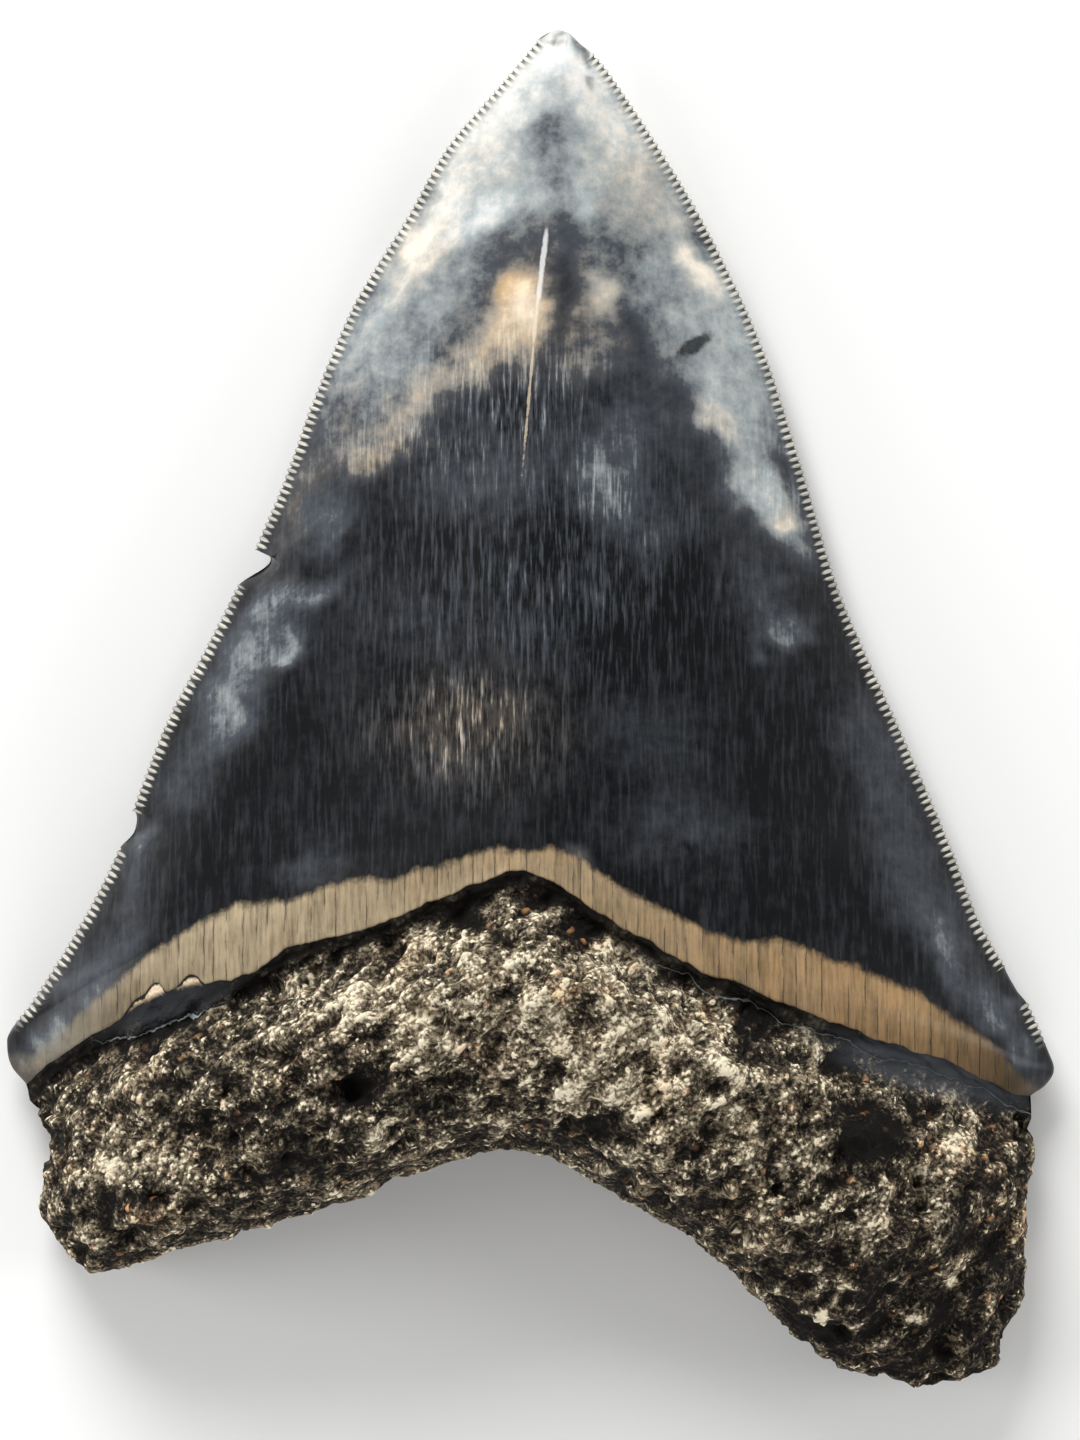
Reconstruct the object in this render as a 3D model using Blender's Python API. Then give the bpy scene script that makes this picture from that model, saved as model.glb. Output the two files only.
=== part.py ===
"""A fossil megalodon tooth, about 131 mm along its longer side, lying on its labial (outer) face.

It is one solid, because a tooth grows as one piece. +X runs across the tooth, +Y from the root to
the tip and +Z up, out of the lingual (inner) face. The origin is at the middle of the box, at its
bottom. Rows of points cross the tooth from the root's lower edge to the tip, once over the lingual
face and once under the labial face, and are joined row to row into a closed shell. The rows differ
in length and in their number of points, so the shell is a loft between unlike sections.
"""

import math

import bmesh
import bpy
import numpy as np
from mathutils import Vector, noise

MM = 0.001
NAME = "tooth"
COLLECTION = "fossil_megalodon_tooth"

# Outline in millimetres from the middle of the tooth: cutting edges, from the shoulder to the tip
LEFT_EDGE = [
    (-47.4, -35.4), (-48.8, -33.7), (-49.2, -31.8), (-48.8, -30.3), (-46.1, -26.6), (-41.5, -19.0),
    (-38.3, -12.5), (-36.7, -7.8), (-34.0, -1.0), (-30.7, 5.2), (-26.7, 13.1), (-23.1, 21.4),
    (-20.5, 28.6), (-16.5, 38.0), (-11.7, 45.8), (-7.8, 52.6), (-3.2, 58.0), (0.9, 62.9),
]
RIGHT_EDGE = [
    (47.0, -36.5), (48.4, -35.5), (49.2, -34.1), (48.6, -32.2), (46.5, -27.5), (42.3, -20.4),
    (39.4, -12.9), (35.2, -3.2), (31.3, 5.5), (28.7, 11.7), (25.8, 21.5), (21.9, 33.5),
    (17.1, 43.9), (12.2, 52.3), (7.4, 59.5), (5.6, 61.6),
]
BLUNT_TIP = [(0.9, 62.9), (2.3, 63.6), (3.6, 63.3), (4.7, 62.3), (5.6, 61.6)]

# Root: its lower edge from lobe to lobe over the arch, and the two sides up to the shoulders
LOWER_EDGE = [
    (-43.6, -51.2), (-42.0, -52.7), (-40.4, -53.1), (-37.8, -52.3), (-32.4, -50.6), (-25.2, -48.6),
    (-17.5, -46.2), (-12.6, -44.1), (-7.6, -42.4), (-2.6, -41.1), (0.9, -41.6), (4.4, -43.2),
    (9.0, -46.1), (14.5, -49.3), (19.3, -53.2), (24.9, -58.7), (28.6, -61.4), (32.0, -62.6),
    (32.9, -62.3), (36.0, -63.6), (39.7, -63.4), (42.4, -62.7),
]
LEFT_SIDE = [
    (-43.6, -51.2), (-45.3, -48.9), (-46.0, -46.7), (-45.9, -43.5), (-45.4, -40.6), (-46.5, -38.2),
    (-47.4, -35.4),
]
RIGHT_SIDE = [
    (42.4, -62.7), (43.8, -61.3), (44.6, -58.7), (46.2, -54.5), (46.4, -49.6), (46.9, -43.2),
    (47.1, -39.9), (47.0, -36.5),
]

# Neck: where the enamel ends, a steep chevron on the lingual face and a shallow one behind
LINGUAL_NECK = [
    (-47.4, -35.4), (-44.1, -32.7), (-34.7, -26.9), (-27.3, -25.1), (-21.9, -22.2), (-15.4, -20.5),
    (-8.5, -17.7), (-3.8, -15.9), (-1.6, -15.2), (1.6, -15.8), (6.4, -19.0), (11.6, -22.0),
    (16.3, -24.7), (20.9, -26.2), (25.8, -28.4), (32.7, -30.9), (39.2, -33.2), (44.1, -35.6),
    (47.0, -36.5),
]
LABIAL_NECK = [
    (-47.4, -35.4), (-38.0, -32.9), (-24.0, -28.6), (-8.0, -25.2), (0.0, -24.6), (9.0, -25.6),
    (25.0, -29.8), (39.0, -34.2), (47.0, -36.5),
]

# Crown: how far it bulges from the plane of its cutting edges, and how high that plane lies
CROWN_BULGE = 18.2
CROWN_TAPER = 0.77
LENS_POWER = 0.88
TIP_BULGE = 0.7
LABIAL_BULGE = 2.9
EDGE_HEIGHT = 3.3
EDGE_DIP = 1.1
TIP_LIFT = 0.8

# Root: thickest just below the neck, thinner in the lobes, with rounded edges
ROOT_THICKNESS = 26.4
SHOULDER_THICKNESS = 9.5
LOBE_THINNING = 0.34
LOBE_THINS_FROM = -47.0
LOBE_THINS_OVER = 16.0
ARCH_EDGE_HEIGHT = 9.0
EDGE_ROUNDING = 0.44
LABIAL_ROUNDING = 0.9
ENAMEL_LEDGE = 0.55
LABIAL_LEDGE = 0.25
DISH_PLACE = (0.5, -33.5)
DISH_SIZE = (24.0, 8.5)
DISH_DEPTH = 1.0

# Serrations of the cutting edges, and the nicks that wear and breakage left in them, each with the
# shares of the edge where it starts, is deepest and ends, and its depth
SERRATION_PITCH = 0.69
SERRATION_DEPTH = 0.3
STRIP_WIDTH = 1.5
NICK_REACH = 8.0
SERRATED_FROM = 0.05
LEFT_NICKS = [(0.470, 0.494, 0.504, 1.9), (0.228, 0.244, 0.262, 0.7)]
RIGHT_NICKS = [(0.092, 0.106, 0.130, 0.3)]

# Relief of the lingual root: pits, ridges and grooves by place, reach and height, then lumps
PITS = [
    (-15.6, -34.7, 2.1, 1.7), (20.2, -29.8, 2.3, 1.7), (28.9, -32.7, 1.7, 1.4),
    (-5.6, -19.6, 1.5, 1.0), (5.0, -20.8, 1.6, 1.1), (32.0, -40.3, 2.8, 0.9), (6.0, -38.4, 1.8, 1.0),
]
RIDGES = [
    ((30.5, -54.0), (43.5, -43.0), 1.6, 0.9), ((33.5, -57.0), (45.5, -47.5), 1.4, -0.8),
    ((27.0, -51.0), (41.0, -40.0), 1.7, -0.6), ((-42.0, -37.0), (-27.0, -44.5), 1.8, -0.6),
    ((-20.0, -27.5), (10.0, -26.0), 2.6, 0.7), ((-36.0, -46.5), (-18.0, -40.0), 2.2, 0.5),
]
LUMPS = [(9.0, 1.3), (4.2, 1.0), (2.3, 0.6)]

# How finely the shell is divided
ROOT_ROWS = 15
ROUNDING_ROWS = 6
ROUNDING_SHARE = 0.34
ROOT_COLUMNS = 60
SIDE_SHARES = [0.0, 0.016, 0.034]
NECK_SHARES = [0.935, 0.99, 1.0]
CROWN_ROWS = 56
CROWN_CELL = 4.6

COLOUR = (0.022, 0.024, 0.028, 1.0)
ROUGHNESS = 0.45


def clear_objects():
    for old in list(bpy.data.objects):
        bpy.data.objects.remove(old, do_unlink=True)


def smooth_line(points):
    """Return a function from a share of the length, 0 to 1, to a place on a curve through points."""
    ends = [2 * np.array(points[0]) - points[1], 2 * np.array(points[-1]) - points[-2]]
    knots = np.vstack([ends[0], points, ends[1]])
    q = np.linspace(0, 1, 10, endpoint=False)[:, None]
    spans = []
    for a, b, c, d in zip(knots, knots[1:], knots[2:], knots[3:]):
        bend = (2 * a - 5 * b + 4 * c - d) * q ** 2 + (3 * b - a - 3 * c + d) * q ** 3
        spans.append(b + 0.5 * ((c - a) * q + bend))
    line = np.vstack(spans + [knots[-2:-1]])
    run = np.concatenate([[0], np.cumsum(np.hypot(*np.diff(line, axis=0).T))])
    share = run / run[-1]

    def place(t):
        return np.column_stack([np.interp(np.ravel(t), share, line[:, k]) for k in (0, 1)])

    place.length = run[-1]
    place.line = line
    place.share = share
    return place


left_edge = smooth_line(LEFT_EDGE)
right_edge = smooth_line(RIGHT_EDGE)
lower_edge = smooth_line(LOWER_EDGE)
left_side = smooth_line(LEFT_SIDE)
right_side = smooth_line(RIGHT_SIDE)
necks = {"lingual": smooth_line(LINGUAL_NECK), "labial": smooth_line(LABIAL_NECK)}
root_border = np.vstack([left_side.line[:0:-1], lower_edge.line, right_side.line[1:]])


def ease(x):
    x = np.clip(x, 0, 1)
    return x * x * (3 - 2 * x)


def quarter_round(x):
    """Rise from 0 to 1 along a quarter of a circle."""
    return np.sqrt(1 - (1 - np.clip(x, 0, 1)) ** 2)


def nearest_shares(line, places):
    """Share of a line's length that each place lies beside."""
    nearest = [np.hypot(*(line.line - place[:2]).T).argmin() for place in places]
    return np.maximum.accumulate(line.share[nearest])


def distance_to_border(places):
    """Distance from each place to the root's outline."""
    a, b = root_border[:-1], root_border[1:]
    along = b - a
    t = np.einsum("nij,ij->ni", places[:, None] - a, along) / (along ** 2).sum(1)
    nearest = a + np.clip(t, 0, 1)[..., None] * along
    return np.hypot(*(places[:, None] - nearest).transpose(2, 0, 1)).min(1)


def nick_depth(share, nicks):
    depth = np.zeros_like(share)
    for start, deepest, end, deep in nicks:
        depth += deep * np.interp(share, [start, deepest, end], [0, 1, 0])
    return depth


def crown_plan(s, w, side):
    """Places in the crown: s is the share across, w the share of the way to the tip."""
    neck = necks[side]
    s, w = s[:, None], w[:, None]
    chord = (1 - s) * neck(0) + s * neck(1)
    left, right = left_edge(w), right_edge(w)
    across = right - left
    width = np.hypot(*across.T)[:, None]
    plan = (1 - w) * (neck(s) - chord) + left + s * across
    inward = nick_depth(w, LEFT_NICKS) * np.clip(1 - s * width / NICK_REACH, 0, 1)
    outward = nick_depth(w, RIGHT_NICKS) * np.clip(1 - (1 - s) * width / NICK_REACH, 0, 1)
    return plan + (inward - outward) * across / width


def crown_edge_height(w):
    return EDGE_HEIGHT - EDGE_DIP * np.sin(math.pi * w) + TIP_LIFT * w ** 3


def crown_height(s, w, side):
    """Height of the crown's lingual or labial face: a lens on the plane of the cutting edges."""
    lens = np.clip(1 - (2 * s - 1) ** 2, 0, 1) ** LENS_POWER
    edge = crown_edge_height(w)
    if side == "lingual":
        return edge + (TIP_BULGE + CROWN_BULGE * (1 - w) ** CROWN_TAPER) * lens
    return np.maximum(0, edge - (TIP_BULGE + (LABIAL_BULGE - TIP_BULGE) * ease(2.5 - 2.5 * w)) * lens)


def root_plan(s, v, side):
    """Places in the root: s is the share across, v the share of the way up to the neck."""
    neck = necks[side]
    s, v = s[:, None], v[:, None]
    low, high = lower_edge(s), neck(s)
    left = left_side(v) - (1 - v) * lower_edge(0) - v * neck(0)
    right = right_side(v) - (1 - v) * lower_edge(1) - v * neck(1)
    return (1 - v) * low + v * high + (1 - s) * left + s * right


def root_edge_height(x):
    half_width = LEFT_SIDE[-1][0]
    return EDGE_HEIGHT + (ARCH_EDGE_HEIGHT - EDGE_HEIGHT) * np.clip(1 - (x / half_width) ** 2, 0, 1)


def root_relief(x, y):
    """Pits, ridges, grooves and lumps of the lingual face of the root."""
    relief = np.zeros_like(x)
    for px, py, reach, depth in PITS:
        relief -= depth * np.exp(-((x - px) ** 2 + (y - py) ** 2) / reach ** 2)
    for start, end, reach, height in RIDGES:
        along = np.subtract(end, start)
        t = np.clip(((x - start[0]) * along[0] + (y - start[1]) * along[1]) / (along @ along), 0, 1)
        off = np.hypot(x - start[0] - t * along[0], y - start[1] - t * along[1])
        relief += height * np.exp(-(off / reach) ** 2)
    for size, height in LUMPS:
        relief += height * np.array([noise.noise(Vector((a, b, size)) / size) for a, b in zip(x, y)])
    return relief


def lingual_root_height(s, v, places):
    x, y = places.T
    edge = root_edge_height(x)
    thick = SHOULDER_THICKNESS + (ROOT_THICKNESS - SHOULDER_THICKNESS) * (1 - (2 * s - 1) ** 2)
    thick *= 1 - LOBE_THINNING * ease((LOBE_THINS_FROM - y) / LOBE_THINS_OVER)
    rounded = quarter_round(distance_to_border(places) / (EDGE_ROUNDING * thick))
    height = edge + (thick - edge) * rounded + root_relief(x, y) * rounded
    under_enamel = crown_height(s, np.zeros_like(s), "lingual") - ENAMEL_LEDGE * (v < 1)
    return height + (under_enamel - height) * ease((v - 0.66) / (NECK_SHARES[0] - 0.66))


def labial_root_height(s, v, places):
    x, y = places.T
    edge = root_edge_height(x)
    height = edge * (1 - quarter_round(distance_to_border(places) / (LABIAL_ROUNDING * edge)))
    dish = ((x - DISH_PLACE[0]) / DISH_SIZE[0]) ** 2 + ((y - DISH_PLACE[1]) / DISH_SIZE[1]) ** 2
    height += DISH_DEPTH * ease(1 - dish)
    at_enamel = crown_height(s, np.zeros_like(s), "labial") + LABIAL_LEDGE * (v < 1)
    return height + (at_enamel - height) * ease((v - 0.8) / (NECK_SHARES[0] - 0.8))


def root_points(s, v, side):
    places = root_plan(s, v, side)
    height = lingual_root_height if side == "lingual" else labial_root_height
    return np.column_stack([places, height(s, v, places)])


def crown_points(s, w, side):
    return np.column_stack([crown_plan(s, w, side), crown_height(s, w, side)])


class Shell:
    """Vertices and triangles of the tooth, gathered row by row."""

    def __init__(self):
        self.points = []
        self.faces = []

    def add(self, points):
        first = len(self.points)
        self.points.extend(points)
        return list(range(first, len(self.points)))

    def join(self, row_a, shares_a, row_b, shares_b):
        """Fill the strip between two rows with triangles, always taking the nearer next point."""
        i = j = 0
        while i < len(row_a) - 1 or j < len(row_b) - 1:
            step_a = j == len(row_b) - 1
            if i < len(row_a) - 1 and not step_a:
                step_a = shares_a[i + 1] + shares_a[i] <= shares_b[j + 1] + shares_b[j]
            corners = [row_a[i], row_b[j], row_a[i + 1] if step_a else row_b[j + 1]]
            i, j = (i + 1, j) if step_a else (i, j + 1)
            if len(set(corners)) == 3:
                self.faces.append(corners)


def root_divisions():
    """Shares across and up the root: closer together where its edges are rounded."""
    turn = np.linspace(0, math.pi / 2, ROUNDING_ROWS + 1)
    rounding = ROUNDING_SHARE * (1 - np.cos(turn))
    up = np.linspace(ROUNDING_SHARE, NECK_SHARES[0], ROOT_ROWS - ROUNDING_ROWS + 1)
    middle = np.linspace(0, 1, ROOT_COLUMNS + 1)
    middle = middle[(middle > 0.045) & (middle < 0.955)]
    sides = np.array(SIDE_SHARES)
    across = np.concatenate([sides, middle, 1 - sides[::-1]])
    return across, np.concatenate([rounding, up[1:], NECK_SHARES[1:]])


def add_root(shell):
    """Add both faces of the root and return each face's row along the neck."""
    s, v = root_divisions()
    places = root_plan(s, np.zeros_like(s), "lingual")
    lowest = shell.add(np.column_stack([places, root_edge_height(places[:, 0])]))
    sides = []
    for line in (left_side, right_side):
        places = line(v[1:])
        sides.append(shell.add(np.column_stack([places, root_edge_height(places[:, 0])])))
    spread = 0.5 + (s - 0.5) * 1.001
    neck_rows = {}
    for side in necks:
        below = lowest
        for k, share in enumerate(v[1:]):
            inner = shell.add(root_points(s[1:-1], np.full(len(s) - 2, share), side))
            row = [sides[0][k]] + inner + [sides[1][k]]
            shell.join(below, s, row, spread)
            below = row
        neck_rows[side] = below
    return s, neck_rows


def add_edge(shell, line, sign, corner):
    """Add one serrated cutting edge from the shoulder's corner to the tip."""
    count = 2 * round(line.length / SERRATION_PITCH)
    w = np.arange(1, count + 1) / count
    step = 0.25 / count
    forward = line(w + step) - line(w - step)
    forward /= np.hypot(*forward.T)[:, None]
    outward = np.column_stack([-forward[:, 1], forward[:, 0]]) * sign
    nicks = LEFT_NICKS if sign > 0 else RIGHT_NICKS
    whole = (nick_depth(w, nicks) == 0) & (w > SERRATED_FROM) & (w < 1)
    tooth = SERRATION_DEPTH * (np.arange(1, count + 1) % 2 - 0.5) * whole
    s = np.zeros_like(w) if sign > 0 else np.ones_like(w)
    places = crown_plan(s, w, "lingual") + outward * tooth[:, None]
    indices = shell.add(np.column_stack([places, crown_edge_height(w)]))
    return [corner] + indices, np.concatenate([[0], w])


def add_crown(shell, s, neck_rows):
    """Add both faces of the crown, from the neck to the blunt tip, inside the serrated edges."""
    corners = neck_rows["lingual"]
    left, left_shares = add_edge(shell, left_edge, 1, corners[0])
    right, right_shares = add_edge(shell, right_edge, -1, corners[-1])
    edge_shares = (left_shares, right_shares)
    tip = shell.add([(x, y, EDGE_HEIGHT + TIP_LIFT) for x, y in BLUNT_TIP[1:-1]])
    for side in necks:
        row, shares = neck_rows[side][1:-1], s[1:-1]
        inner = [[row[0]], [row[-1]]]
        rise = np.linspace(0, 1, CROWN_ROWS + 1)
        for w in rise[1:]:
            width = np.hypot(*(right_edge(w) - left_edge(w))[0])
            margin = min(STRIP_WIDTH / width, 0.3)
            count = max(2, round(width * (1 - 2 * margin) / CROWN_CELL) + 1)
            next_shares = np.linspace(margin, 1 - margin, count)
            next_row = shell.add(crown_points(next_shares, np.full(count, w), side))
            shell.join(row, shares, next_row, next_shares)
            row, shares = next_row, next_shares
            inner[0].append(row[0])
            inner[1].append(row[-1])
        for edge, line, shares, strip in zip((left, right), (left_edge, right_edge), edge_shares, inner):
            shell.join(edge, shares, strip, nearest_shares(line, [shell.points[k] for k in strip]))
        last = [left[-1]] + row + [right[-1]]
        shell.join(last, np.linspace(0, 1, len(last)), [left[-1]] + tip + [right[-1]],
                   np.linspace(0, 1, len(tip) + 2))


def tooth_mesh():
    """Loft the tooth, set its origin at the middle of its box's bottom and return its mesh."""
    shell = Shell()
    s, neck_rows = add_root(shell)
    add_crown(shell, s, neck_rows)
    points = np.array(shell.points)
    low, high = points.min(0), points.max(0)
    points -= [(low[0] + high[0]) / 2, (low[1] + high[1]) / 2, low[2]]
    bm = bmesh.new()
    corners = [bm.verts.new(point) for point in points * MM]
    for face in shell.faces:
        bm.faces.new([corners[k] for k in face])
    bmesh.ops.recalc_face_normals(bm, faces=bm.faces)
    mesh = bpy.data.meshes.new(NAME)
    bm.to_mesh(mesh)
    bm.free()
    return mesh


def fossil_material():
    """Enamel and dentine turned to dark stone: charcoal, half glossy."""
    material = bpy.data.materials.new("fossil_tooth")
    material.use_nodes = True
    shader = material.node_tree.nodes["Principled BSDF"]
    shader.inputs["Base Color"].default_value = COLOUR
    shader.inputs["Roughness"].default_value = ROUGHNESS
    shader.inputs["Metallic"].default_value = 0.0
    return material


def main():
    clear_objects()
    collection = bpy.data.collections.new(COLLECTION)
    bpy.context.scene.collection.children.link(collection)
    tooth = bpy.data.objects.new(NAME, tooth_mesh())
    tooth.data.materials.append(fossil_material())
    collection.objects.link(tooth)


main()
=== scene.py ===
"""The looks of a fossil megalodon tooth: its fine skin, its colours, and a plain studio.

Run it in Blender with its text editor, or with blender --background --python scene.py. The tooth is
laid out flat as grids of cells, like a dressmaker's pattern, cut to match at the borders, then lifted
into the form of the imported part, roughened and painted. Sizes are in millimetres unless they say so.
"""

import functools
import math
from types import SimpleNamespace

import bpy
import numpy as np
from bpy.props import FloatProperty, FloatVectorProperty, PointerProperty
from mathutils import Matrix, Vector, noise


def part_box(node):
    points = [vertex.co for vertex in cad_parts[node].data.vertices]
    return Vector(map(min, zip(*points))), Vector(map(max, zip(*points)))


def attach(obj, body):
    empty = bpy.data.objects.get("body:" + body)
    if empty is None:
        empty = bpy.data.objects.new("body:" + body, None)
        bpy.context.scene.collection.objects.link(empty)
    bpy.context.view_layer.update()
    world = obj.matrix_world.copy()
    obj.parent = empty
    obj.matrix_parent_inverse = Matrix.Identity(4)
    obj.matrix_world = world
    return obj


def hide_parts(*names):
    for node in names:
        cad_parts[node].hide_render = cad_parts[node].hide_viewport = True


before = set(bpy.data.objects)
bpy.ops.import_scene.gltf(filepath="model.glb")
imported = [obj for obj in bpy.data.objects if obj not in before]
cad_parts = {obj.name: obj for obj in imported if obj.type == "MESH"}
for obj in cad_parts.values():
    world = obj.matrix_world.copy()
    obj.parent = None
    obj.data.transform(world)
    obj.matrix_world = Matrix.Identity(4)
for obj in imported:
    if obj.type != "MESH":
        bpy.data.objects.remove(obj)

bl_info = {
    "name": "Fossil Megalodon Tooth",
    "version": (1, 0, 0),
    "blender": (4, 5, 0),
    "location": "3D View > Sidebar > Fossil Tooth",
    "description": "Models and paints a fossil megalodon tooth and sets up a plain studio",
    "category": "Object",
}

MM = 0.001
TOOTH_LOW, TOOTH_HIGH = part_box("tooth")

# Outline of the tooth, from the middle of its box: cutting edges, from the shoulder to the tip
LEFT_EDGE = [
    (-47.4, -35.4), (-48.8, -33.7), (-49.2, -31.8), (-48.8, -30.3), (-46.1, -26.6), (-41.5, -19.0),
    (-38.3, -12.5), (-36.7, -7.8), (-34.0, -1.0), (-30.7, 5.2), (-26.7, 13.1), (-23.1, 21.4),
    (-20.5, 28.6), (-16.5, 38.0), (-11.7, 45.8), (-7.8, 52.6), (-3.2, 58.0), (0.9, 62.9),
]
RIGHT_EDGE = [
    (47.0, -36.5), (48.4, -35.5), (49.2, -34.1), (48.6, -32.2), (46.5, -27.5), (42.3, -20.4),
    (39.4, -12.9), (35.2, -3.2), (31.3, 5.5), (28.7, 11.7), (25.8, 21.5), (21.9, 33.5),
    (17.1, 43.9), (12.2, 52.3), (7.4, 59.5), (5.6, 61.6),
]
BLUNT_TIP = [(0.9, 62.9), (2.3, 63.6), (3.6, 63.3), (4.7, 62.3), (5.6, 61.6)]
LOWER_EDGE = [
    (-43.6, -51.2), (-42.0, -52.7), (-40.4, -53.1), (-37.8, -52.3), (-32.4, -50.6), (-25.2, -48.6),
    (-17.5, -46.2), (-12.6, -44.1), (-7.6, -42.4), (-2.6, -41.1), (0.9, -41.6), (4.4, -43.2),
    (9.0, -46.1), (14.5, -49.3), (19.3, -53.2), (24.9, -58.7), (28.6, -61.4), (32.0, -62.6),
    (32.9, -62.3), (36.0, -63.6), (39.7, -63.4), (42.4, -62.7),
]
LEFT_SIDE = [
    (-43.6, -51.2), (-45.3, -48.9), (-46.0, -46.7), (-45.9, -43.5), (-45.4, -40.6), (-46.5, -38.2),
    (-47.4, -35.4),
]
RIGHT_SIDE = [
    (42.4, -62.7), (43.8, -61.3), (44.6, -58.7), (46.2, -54.5), (46.4, -49.6), (46.9, -43.2),
    (47.1, -39.9), (47.0, -36.5),
]
LINGUAL_NECK = [
    (-47.4, -35.4), (-44.1, -32.7), (-34.7, -26.9), (-27.3, -25.1), (-21.9, -22.2), (-15.4, -20.5),
    (-8.5, -17.7), (-3.8, -15.9), (-1.6, -15.2), (1.6, -15.8), (6.4, -19.0), (11.6, -22.0),
    (16.3, -24.7), (20.9, -26.2), (25.8, -28.4), (32.7, -30.9), (39.2, -33.2), (44.1, -35.6),
    (47.0, -36.5),
]
LABIAL_NECK = [
    (-47.4, -35.4), (-38.0, -32.9), (-24.0, -28.6), (-8.0, -25.2), (0.0, -24.6), (9.0, -25.6),
    (25.0, -29.8), (39.0, -34.2), (47.0, -36.5),
]

# Form of the crown and the root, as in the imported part
CROWN_FOOT = -35.0
CROWN_LENGTH = 98.0
CROWN_BULGE = 18.2
CROWN_TAPER = 0.77
LENS_POWER = 0.88
TIP_BULGE = 0.7
LABIAL_BULGE = 2.9
EDGE_HEIGHT = 3.3
EDGE_DIP = 1.1
TIP_LIFT = 0.8
ROOT_THICKNESS = 26.4
SHOULDER_THICKNESS = 9.5
LOBE_THINNING = 0.34
LOBE_THINS_FROM = -47.0
LOBE_THINS_OVER = 16.0
ARCH_EDGE_HEIGHT = 9.0
EDGE_ROUNDING = 0.44
LABIAL_ROUNDING = 0.9
ENAMEL_LEDGE = 0.55
LABIAL_LEDGE = 0.25
DISH_PLACE = (0.5, -33.5)
DISH_SIZE = (24.0, 8.5)
DISH_DEPTH = 1.0
NECK_FROM, NECK_FLAT = 0.66, 0.935
LABIAL_NECK_FROM = 0.8

# Serrations, nicks, and the root's relief: pits, ridges, grooves and lumps
SERRATION_PITCH = 0.69
NICK_REACH = 8.0
SERRATED_FROM = 0.05
LEFT_NICKS = [(0.470, 0.494, 0.504, 1.9), (0.228, 0.244, 0.262, 0.7)]
RIGHT_NICKS = [(0.092, 0.106, 0.130, 0.3)]
PITS = [
    (-15.6, -34.7, 2.1, 1.7), (20.2, -29.8, 2.3, 1.7), (28.9, -32.7, 1.7, 1.4),
    (-5.6, -19.6, 1.5, 1.0), (5.0, -20.8, 1.6, 1.1), (32.0, -40.3, 2.8, 0.9), (6.0, -38.4, 1.8, 1.0),
]
RIDGES = [
    ((30.5, -54.0), (43.5, -43.0), 1.6, 0.9), ((33.5, -57.0), (45.5, -47.5), 1.4, -0.8),
    ((27.0, -51.0), (41.0, -40.0), 1.7, -0.6), ((-42.0, -37.0), (-27.0, -44.5), 1.8, -0.6),
    ((-20.0, -27.5), (10.0, -26.0), 2.6, 0.7), ((-36.0, -46.5), (-18.0, -40.0), 2.2, 0.5),
]
LUMPS = [(9.0, 1.3), (4.2, 1.0), (2.3, 0.6)]

# Fine detail: serration ridges, the broken end of the enamel, thin layers below it, and chips
STRIP_WIDTH = 1.5
STRIP_STEPS = (0.0, 0.16, 0.42, 0.72, 1.0)
SHEAR_REACH = 0.4
SERRATION_DEPTH = 0.34
RIDGE_LENGTH = 1.3
RIDGE_HEIGHT = 0.16
RIDGE_WIDTH = 0.25
ENAMEL_RAGGED = 0.55
LABIAL_RAGGED = 0.3

# Place, reach and rise of the notches in the enamel's end; reach, thickness and widening of the layers
ENAMEL_NOTCHES = [(-35.9, 1.7, 1.5), (-35.0, 0.8, 1.2), (-31.6, 1.0, 1.9)]
FLAKES = [(0.7, 0.32, 2.2), (1.5, 0.24, 1.5), (2.3, 0.16, 0.5)]
PLATE_PLACE = -34.0
PLATE_REACH = 5.6
LAYERS_SUNK = 0.25
CROWN_DENTS = [
    (-25.4, 13.0, 1.6, 1.2, 60, 0.5), (-37.2, -12.4, 0.9, 0.7, 60, 0.25), (2.4, 62.0, 0.7, 0.6, 0, 0.2),
    (5.2, 60.6, 1.2, 0.8, -50, 0.35), (1.6, 63.1, 1.3, 0.4, 0, 0.25),
]
BAND_TOP = [
    (-46.6, -32.7), (-39.1, -26.1), (-35.8, -23.3), (-31.1, -20.4), (-27.3, -18.5), (-23.0, -18.2),
    (-20.8, -17.7), (-19.5, -16.9), (-17.5, -16.5), (-15.6, -15.9), (-13.2, -16.3), (-10.3, -15.1),
    (-7.8, -14.6), (-4.7, -13.6), (-2.8, -13.2), (-1.7, -13.6), (2.3, -13.2), (4.5, -14.1),
    (5.9, -15.2), (8.0, -16.5), (9.4, -17.3), (11.9, -18.7), (13.9, -19.8), (16.8, -21.0),
    (18.9, -21.6), (20.4, -22.0), (22.8, -21.7), (24.7, -22.2), (27.6, -23.5), (30.5, -24.3),
    (32.7, -25.4), (34.8, -26.3), (36.2, -26.7), (37.7, -27.9), (39.9, -29.4), (42.1, -30.8),
    (44.2, -32.5), (45.4, -34.1), (49.0, -37.0),
]

# Place, reach along and across, and turn; the streaky zones have no turn but a strength
SCRATCH_BLADE = (1.1, 41.2, 4.0, 0.3, 83.0)
SCRATCH_TAIL = (0.0, 30.5, 8.0, 0.15, 85.0)
SCAR = (15.3, 33.9, 2.1, 0.75, 30.0)
STREAKY_ZONES = [
    (1.0, 13.0, 17.0, 13.0, 0.3), (-5.7, -1.5, 9.0, 6.5, 0.5), (-1.0, 28.0, 8.0, 5.5, 0.42),
    (-8.0, 24.0, 9.0, 4.5, 0.32),
]
SMOOTH_STRIP = (37.0, -34.2, 8.5, 1.6, -18)
TIP_LEAN = 3.2
LABIAL_BAND = 3.0

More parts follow.
